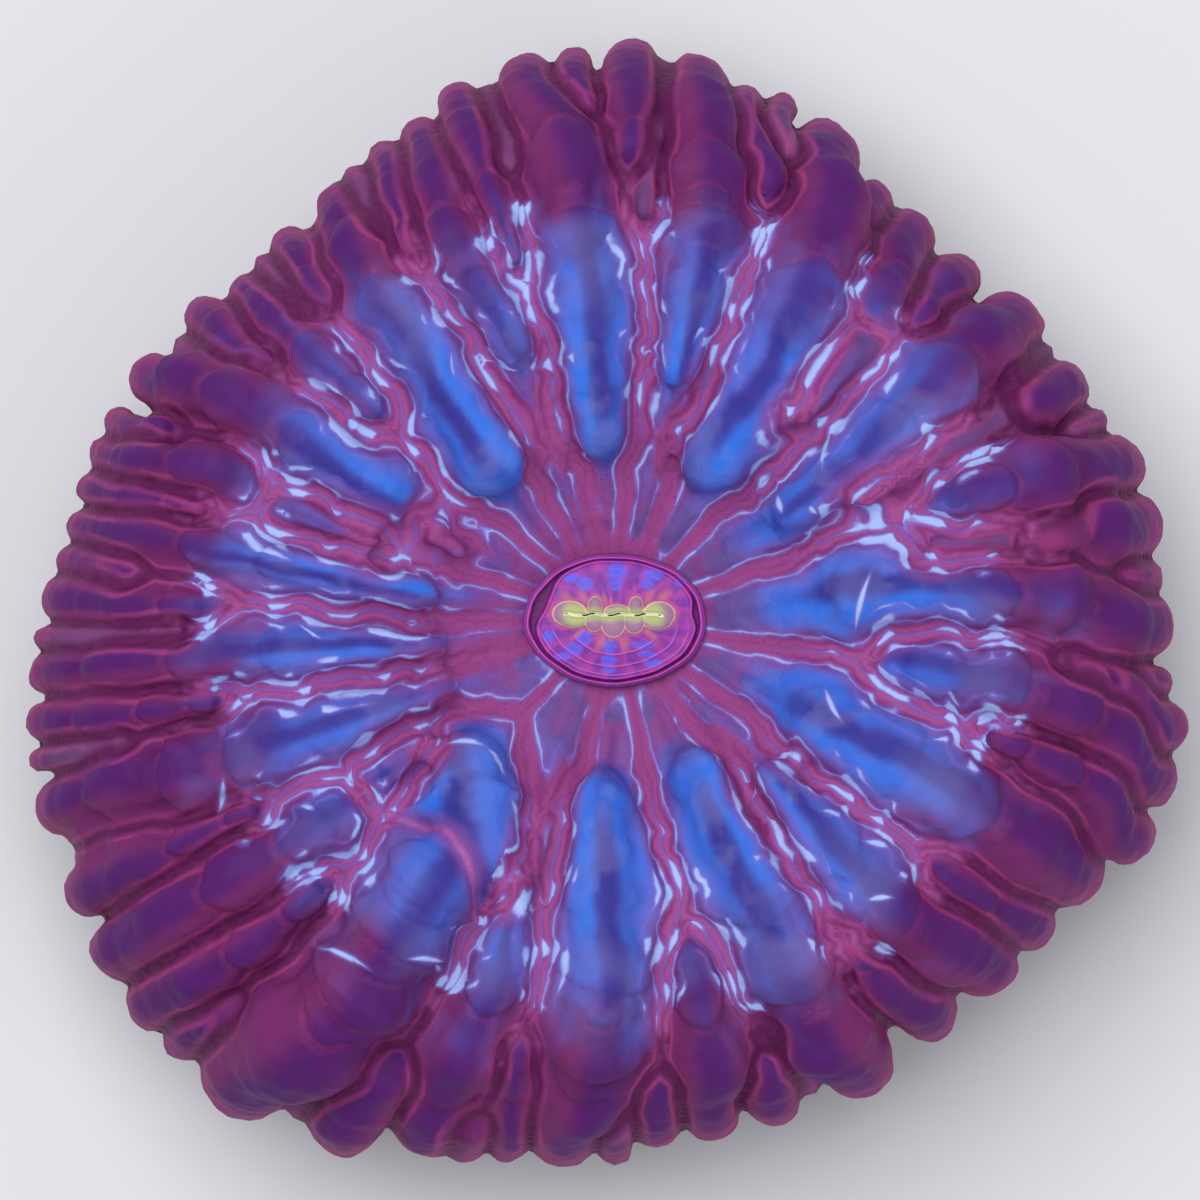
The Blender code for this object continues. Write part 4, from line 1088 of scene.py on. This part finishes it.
def fleshFinish():
    material, tree, shader = newMaterial("flesh", flesh["settings"])
    place, x, y = tree.place()
    radius = (x * x + y * y) ** 0.5
    read = tree.attribute
    gap, lane, sway, inner = read("gap"), read("lane"), read("sway"), read("inner")
    fine = tree.grain(place, *flesh["fine"])
    grit = tree.grain(place, *flesh["grit"])
    edge = read("edge") + (fine - 0.5) * flesh["edgePlay"]

    # lobes: dark core, lighter flanks, blue windows nearer the mouth, one flank painted as lit, a pink edge
    # of painted rim glow, and painted highlight lines and painted shade at the waists
    core = tree.blend(inner, flesh["core"], flesh["innerCore"])
    flank = tree.blend(inner * read("blue"), flesh["flank"], flesh["innerFlank"])
    colour = tree.blend(read("flankShare"), core, flank)
    for mask, shade in (("window", "azure"), ("deep", "indigo"), ("veil", "grey"), ("dull", "low")):
        colour = tree.blend(read(mask), colour, flesh[shade])
    # the lobe's pink edge is a painted rim glow, bluer in the inner part
    edgeGlowTint = tree.blend(inner, flesh["edgeGlowTint"], flesh["innerEdgeGlow"])
    colour = tree.blend(read("edgeGlow"), colour, edgeGlowTint)
    # pale pink lines across the waists are a painted highlight
    arc = (1 - read("waist").step(flesh["arcWide"])) * read("arcShare")
    colour = tree.blend(arc, colour, flesh["pinkHighlight"])
    # the part past each waist gets painted shade in the darkest tint
    colour = tree.blend(read("shade"), colour, flesh["creaseShade"])
    dusk = tree.blend(read("dusk"), flesh["disc"], flesh["discDusk"])
    colour = tree.blend(read("toDisc"), colour, dusk)

    # streams: pink strands with fine lines along the lobes, creases darkened with painted shade further out
    outer = read("outer")
    between = (gap - abs(lane)).step(flesh["between"])
    line = ((lane - sway) * flesh["lines"] + fine * flesh["linePlay"]).wave() * read("strands")
    line = line * (1 - between)
    dark = line.step(flesh["lineEnds"]) * flesh["lineShare"]
    stream = tree.blend(dark, flesh["stream"], flesh["streamLine"])
    light = (0 - line).step(flesh["lightEnds"]) * flesh["lightShare"]
    stream = tree.blend(light, stream, flesh["streamLight"])
    # further out the streams darken into painted shade in the creases
    stream = tree.blend(outer * flesh["creaseShare"], stream, flesh["creaseShade"])
    inStream = edge + flesh["streamOver"] + outer * flesh["creaseWider"]
    colour = tree.blend(inStream.step(flesh["streamEnds"]), colour, stream)

    # pale streaks along both sides and the middle of each stream, swelling every few millimetres
    shifted = edge + read("shift")
    lens = read("edgeWide") - abs(shifted)
    lens = lens.highest(read("middleWide") - abs(lane - sway) - between)
    lens = lens.highest(read("besideWide") - abs(shifted + flesh["besideAt"]))
    arc = flesh["cleftWide"] - flesh["cleftTaper"] * read("cleftAlong") ** 2.0 - abs(read("cleftAside"))
    lens = lens.highest(arc) + (fine - 0.5) * flesh["lensPlay"]
    colour = tree.blend(lens.step(flesh["fringeEnds"]) * flesh["fringeShare"], colour, flesh["fringe"])
    colour = tree.blend(lens.step(flesh["streakEnds"]), colour, flesh["streak"])

    # painted highlight lines beside the creases, the seams, the wall, its painted rim-glow belt and the
    # specks
    rimLight = 1 - abs(gap - flesh["rimLightAt"]).step(flesh["rimLightWide"])
    rimLight = rimLight * (1 - lens.step(flesh["rimLightOff"]))
    colour = tree.blend(rimLight * read("lit"), colour, flesh["pinkHighlight"])
    seam = (1 - gap.step(flesh["seamWide"])) * read("tight")
    colour = tree.blend(seam * flesh["seamShare"], colour, flesh["seam"])
    colour = tree.blend(read("wallShare"), colour, flesh["wall"])
    # a pink belt round the wall is a painted rim glow
    colour = tree.blend(read("rimGlowBelt"), colour, flesh["pinkHighlight"])
    specks = grit.step(flesh["speckEnds"]) * (1 - radius.step(flesh["speckTo"]))
    colour = tree.blend(specks * flesh["speckShare"], colour, flesh["speck"])
    tree.plug(colour, shader, "Base Color")
    tree.bump(shader, flesh["bump"], flesh["bumpDepth"], fine * flesh["bumpShare"])
    return material


mouthFlesh = {
    "settings": {"Roughness": 0.45, "Specular IOR Level": 0.2},
    "membrane": tint(150, 58, 156), "dusk": tint(118, 54, 160), "rim": tint(216, 82, 188),
    # the gap's tint is a painted shadow of the rim
    "gap": tint(108, 38, 108), "fold": tint(214, 116, 204), "patch": tint(92, 100, 238),
    "glow": tint(226, 128, 104), "lip": tint(168, 124, 158), "lipEdge": tint(255, 208, 180),
    "green": tint(180, 190, 122), "slit": tint(36, 16, 56), "slitEdge": tint(248, 252, 218),
    "disc": tint(140, 66, 142),
    "clouds": (1.1, 2.0), "fine": (5.0, 3.0),    # grains: (scale, detail)
    "duskEnds": (0.35, 0.65),
    "rayTurns": 20.0, "rayPlay": 8.0, "rayRound": 1.4, "rayEnds": (-0.6, 1.0), "rayShare": 0.25,
    "bands": 60.0, "bandPlay": 5.0, "bandEnds": (-0.4, 0.8), "bandShare": 0.4,
    "patchPlay": 0.5, "patchEnds": (-0.9, 0.6),
    "haloAt": 0.9, "haloEnds": (0.0, 0.9), "haloShare": 0.35,
    "glowPlay": 0.5, "glowEnds": (0.0, 1.1), "glowShare": 0.5,
    "foldEnds": (0.3, 1.0), "foldShare": 0.7, "secondEnds": (0.25, 0.9), "secondShare": 0.8,
    "rimEnds": (0.3, 0.9), "rimShare": 0.9, "discFrom": (1.01, 1.04),
    "greenEnds": (0.2, 0.9), "lipEdgeTo": (0.04, 0.34), "lipPlay": 0.1, "lipFrom": (-0.04, 0.06),
    "slitEdgeEnds": (0.05, 0.4), "slitEnds": (0.72, 0.92),
    "dashes": 4.4, "dashShift": 0.9, "dashPlay": 2.0, "dashEnds": (0.0, 0.4),
    "leastRough": 0.4, "roughPlay": 0.14,
    "bump": 0.25, "bumpDepth": 0.0001,
}


def mouthFinish():
    look = mouthFlesh
    material, tree, shader = newMaterial("mouthFlesh", look["settings"])
    place, x, y = tree.place()
    rim, second, folds = tree.attribute("rim"), tree.attribute("second"), tree.attribute("folds")
    gap, lip, slit = tree.attribute("gap"), tree.attribute("lip"), tree.attribute("slit")
    patch, oval, glow = tree.attribute("patch"), tree.attribute("oval"), tree.attribute("glow")
    cloud = tree.grain(place, *look["clouds"])
    fine = tree.grain(place, *look["fine"])
    colour = tree.blend(cloud.step(look["duskEnds"]), look["membrane"], look["dusk"])
    turn = tree.add("ShaderNodeMath", {"operation": "ARCTAN2"}, {0: y * look["rayRound"], 1: x})
    rays = (turn * look["rayTurns"] + cloud * look["rayPlay"]).wave().step(look["rayEnds"])
    colour = tree.blend(rays * look["rayShare"], colour, look["rim"])
    bands = (oval * look["bands"] + cloud * look["bandPlay"]).wave().step(look["bandEnds"])
    glass = (patch + (fine - 0.5) * look["patchPlay"]).step(look["patchEnds"])
    glass = glass * (1 - look["bandShare"] + look["bandShare"] * bands)
    colour = tree.blend(glass, colour, look["patch"])
    halo = (lip + look["haloAt"]).step(look["haloEnds"]) * look["haloShare"]
    glow = (glow - (fine - 0.5) * look["glowPlay"]).step(look["glowEnds"]) * look["glowShare"]
    colour = tree.blend(halo.highest(glow), colour, look["glow"])
    # the gap inside the rim is darkened: a painted shadow of the rim
    colour = tree.blend(gap, colour, look["gap"])
    colour = tree.blend(folds.step(look["foldEnds"]) * look["foldShare"], colour, look["fold"])
    colour = tree.blend(second.step(look["secondEnds"]) * look["secondShare"], colour, look["rim"])
    colour = tree.blend(rim.step(look["rimEnds"]) * look["rimShare"], colour, look["rim"])
    colour = tree.blend(oval.step(look["discFrom"]), colour, look["disc"])
    lump = tree.blend(tree.attribute("slitNear").step(look["greenEnds"]), look["lip"], look["green"])
    lump = tree.blend(lip.step(look["lipEdgeTo"]), look["lipEdge"], lump)
    colour = tree.blend((lip + (fine - 0.5) * look["lipPlay"]).step(look["lipFrom"]), colour, lump)
    colour = tree.blend(slit.step(look["slitEdgeEnds"]), colour, look["slitEdge"])
    dashes = (x * look["dashes"] + look["dashShift"] + cloud * look["dashPlay"]).wave()
    dashes = dashes.step(look["dashEnds"])
    colour = tree.blend(slit.step(look["slitEnds"]) * dashes, colour, look["slit"])
    tree.plug(colour, shader, "Base Color")
    tree.plug(look["leastRough"] + fine * look["roughPlay"], shader, "Roughness")
    tree.bump(shader, look["bump"], look["bumpDepth"], fine)
    return material


studio = {
    "floor": tint(226, 227, 230), "floorSize": 1.6,
    "worldTint": (0.93, 0.95, 1.0, 1.0), "worldStrength": 0.38,
    "lamps": (
        ("overhead", (-0.12, 0.16, 0.5), 0.45, 2.3), ("fill", (0.38, -0.3, 0.3), 0.4, 0.7),
    ),    # (name, place, size, watts), in metres
    "lampAim": (0.0, 0.0, 0.01),
    "eye": (-0.83, 1.11), "eyeHeight": 412.0, "frameWidth": 66.67, "frameLevel": 12.0,    # in millimetres
    "sensor": 36.0, "clip": (0.01, 5.0),
    "bounces": {"max_bounces": 3, "diffuse_bounces": 2, "glossy_bounces": 1},
}


def makeStage():
    bpy.ops.mesh.primitive_plane_add(size=studio["floorSize"])
    floor = bpy.context.object
    floor.name = "floor"
    material, _, shader = newMaterial("floor", {"Roughness": 0.8, "Specular IOR Level": 0.2})
    shader.inputs["Base Color"].default_value = studio["floor"]
    floor.data.materials.append(material)
    world = bpy.data.worlds.new("studio")
    world.use_nodes = True
    sky = world.node_tree.nodes["Background"]
    sky.inputs["Color"].default_value = studio["worldTint"]
    sky.inputs["Strength"].default_value = studio["worldStrength"]
    bpy.context.scene.world = world
    for name, place, size, watts in studio["lamps"]:
        light = bpy.data.lights.new(name, "AREA")
        light.size = size
        light.energy = watts
        lamp = link(bpy.data.objects.new(name, light))
        lamp.location = place
        ahead = Vector(studio["lampAim"]) - Vector(place)
        lamp.rotation_euler = ahead.to_track_quat("-Z", "Y").to_euler()


def makeCamera():
    data = bpy.data.cameras.new("camera")
    away = studio["eyeHeight"] - studio["frameLevel"]
    data.sensor_width = studio["sensor"]
    data.lens = data.sensor_width * away / studio["frameWidth"]
    data.clip_start, data.clip_end = studio["clip"]
    camera = link(bpy.data.objects.new("camera", data))
    camera.location = Vector((*studio["eye"], studio["eyeHeight"])) * mm
    scene = bpy.context.scene
    scene.camera = camera
    scene.view_settings.view_transform = "Standard"
    for name, count in studio["bounces"].items():
        setattr(scene.cycles, name, count)


polyp = makePolyp(fleshFinish())
print("polyp:", len(polyp.data.polygons), "faces")
lips = makeMouth(mouthFinish())
print("mouth:", len(lips.data.polygons), "faces")
for piece in (polyp, lips):
    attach(piece, "root")
    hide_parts("polyp")
makeStage()
makeCamera()
print("stage set")
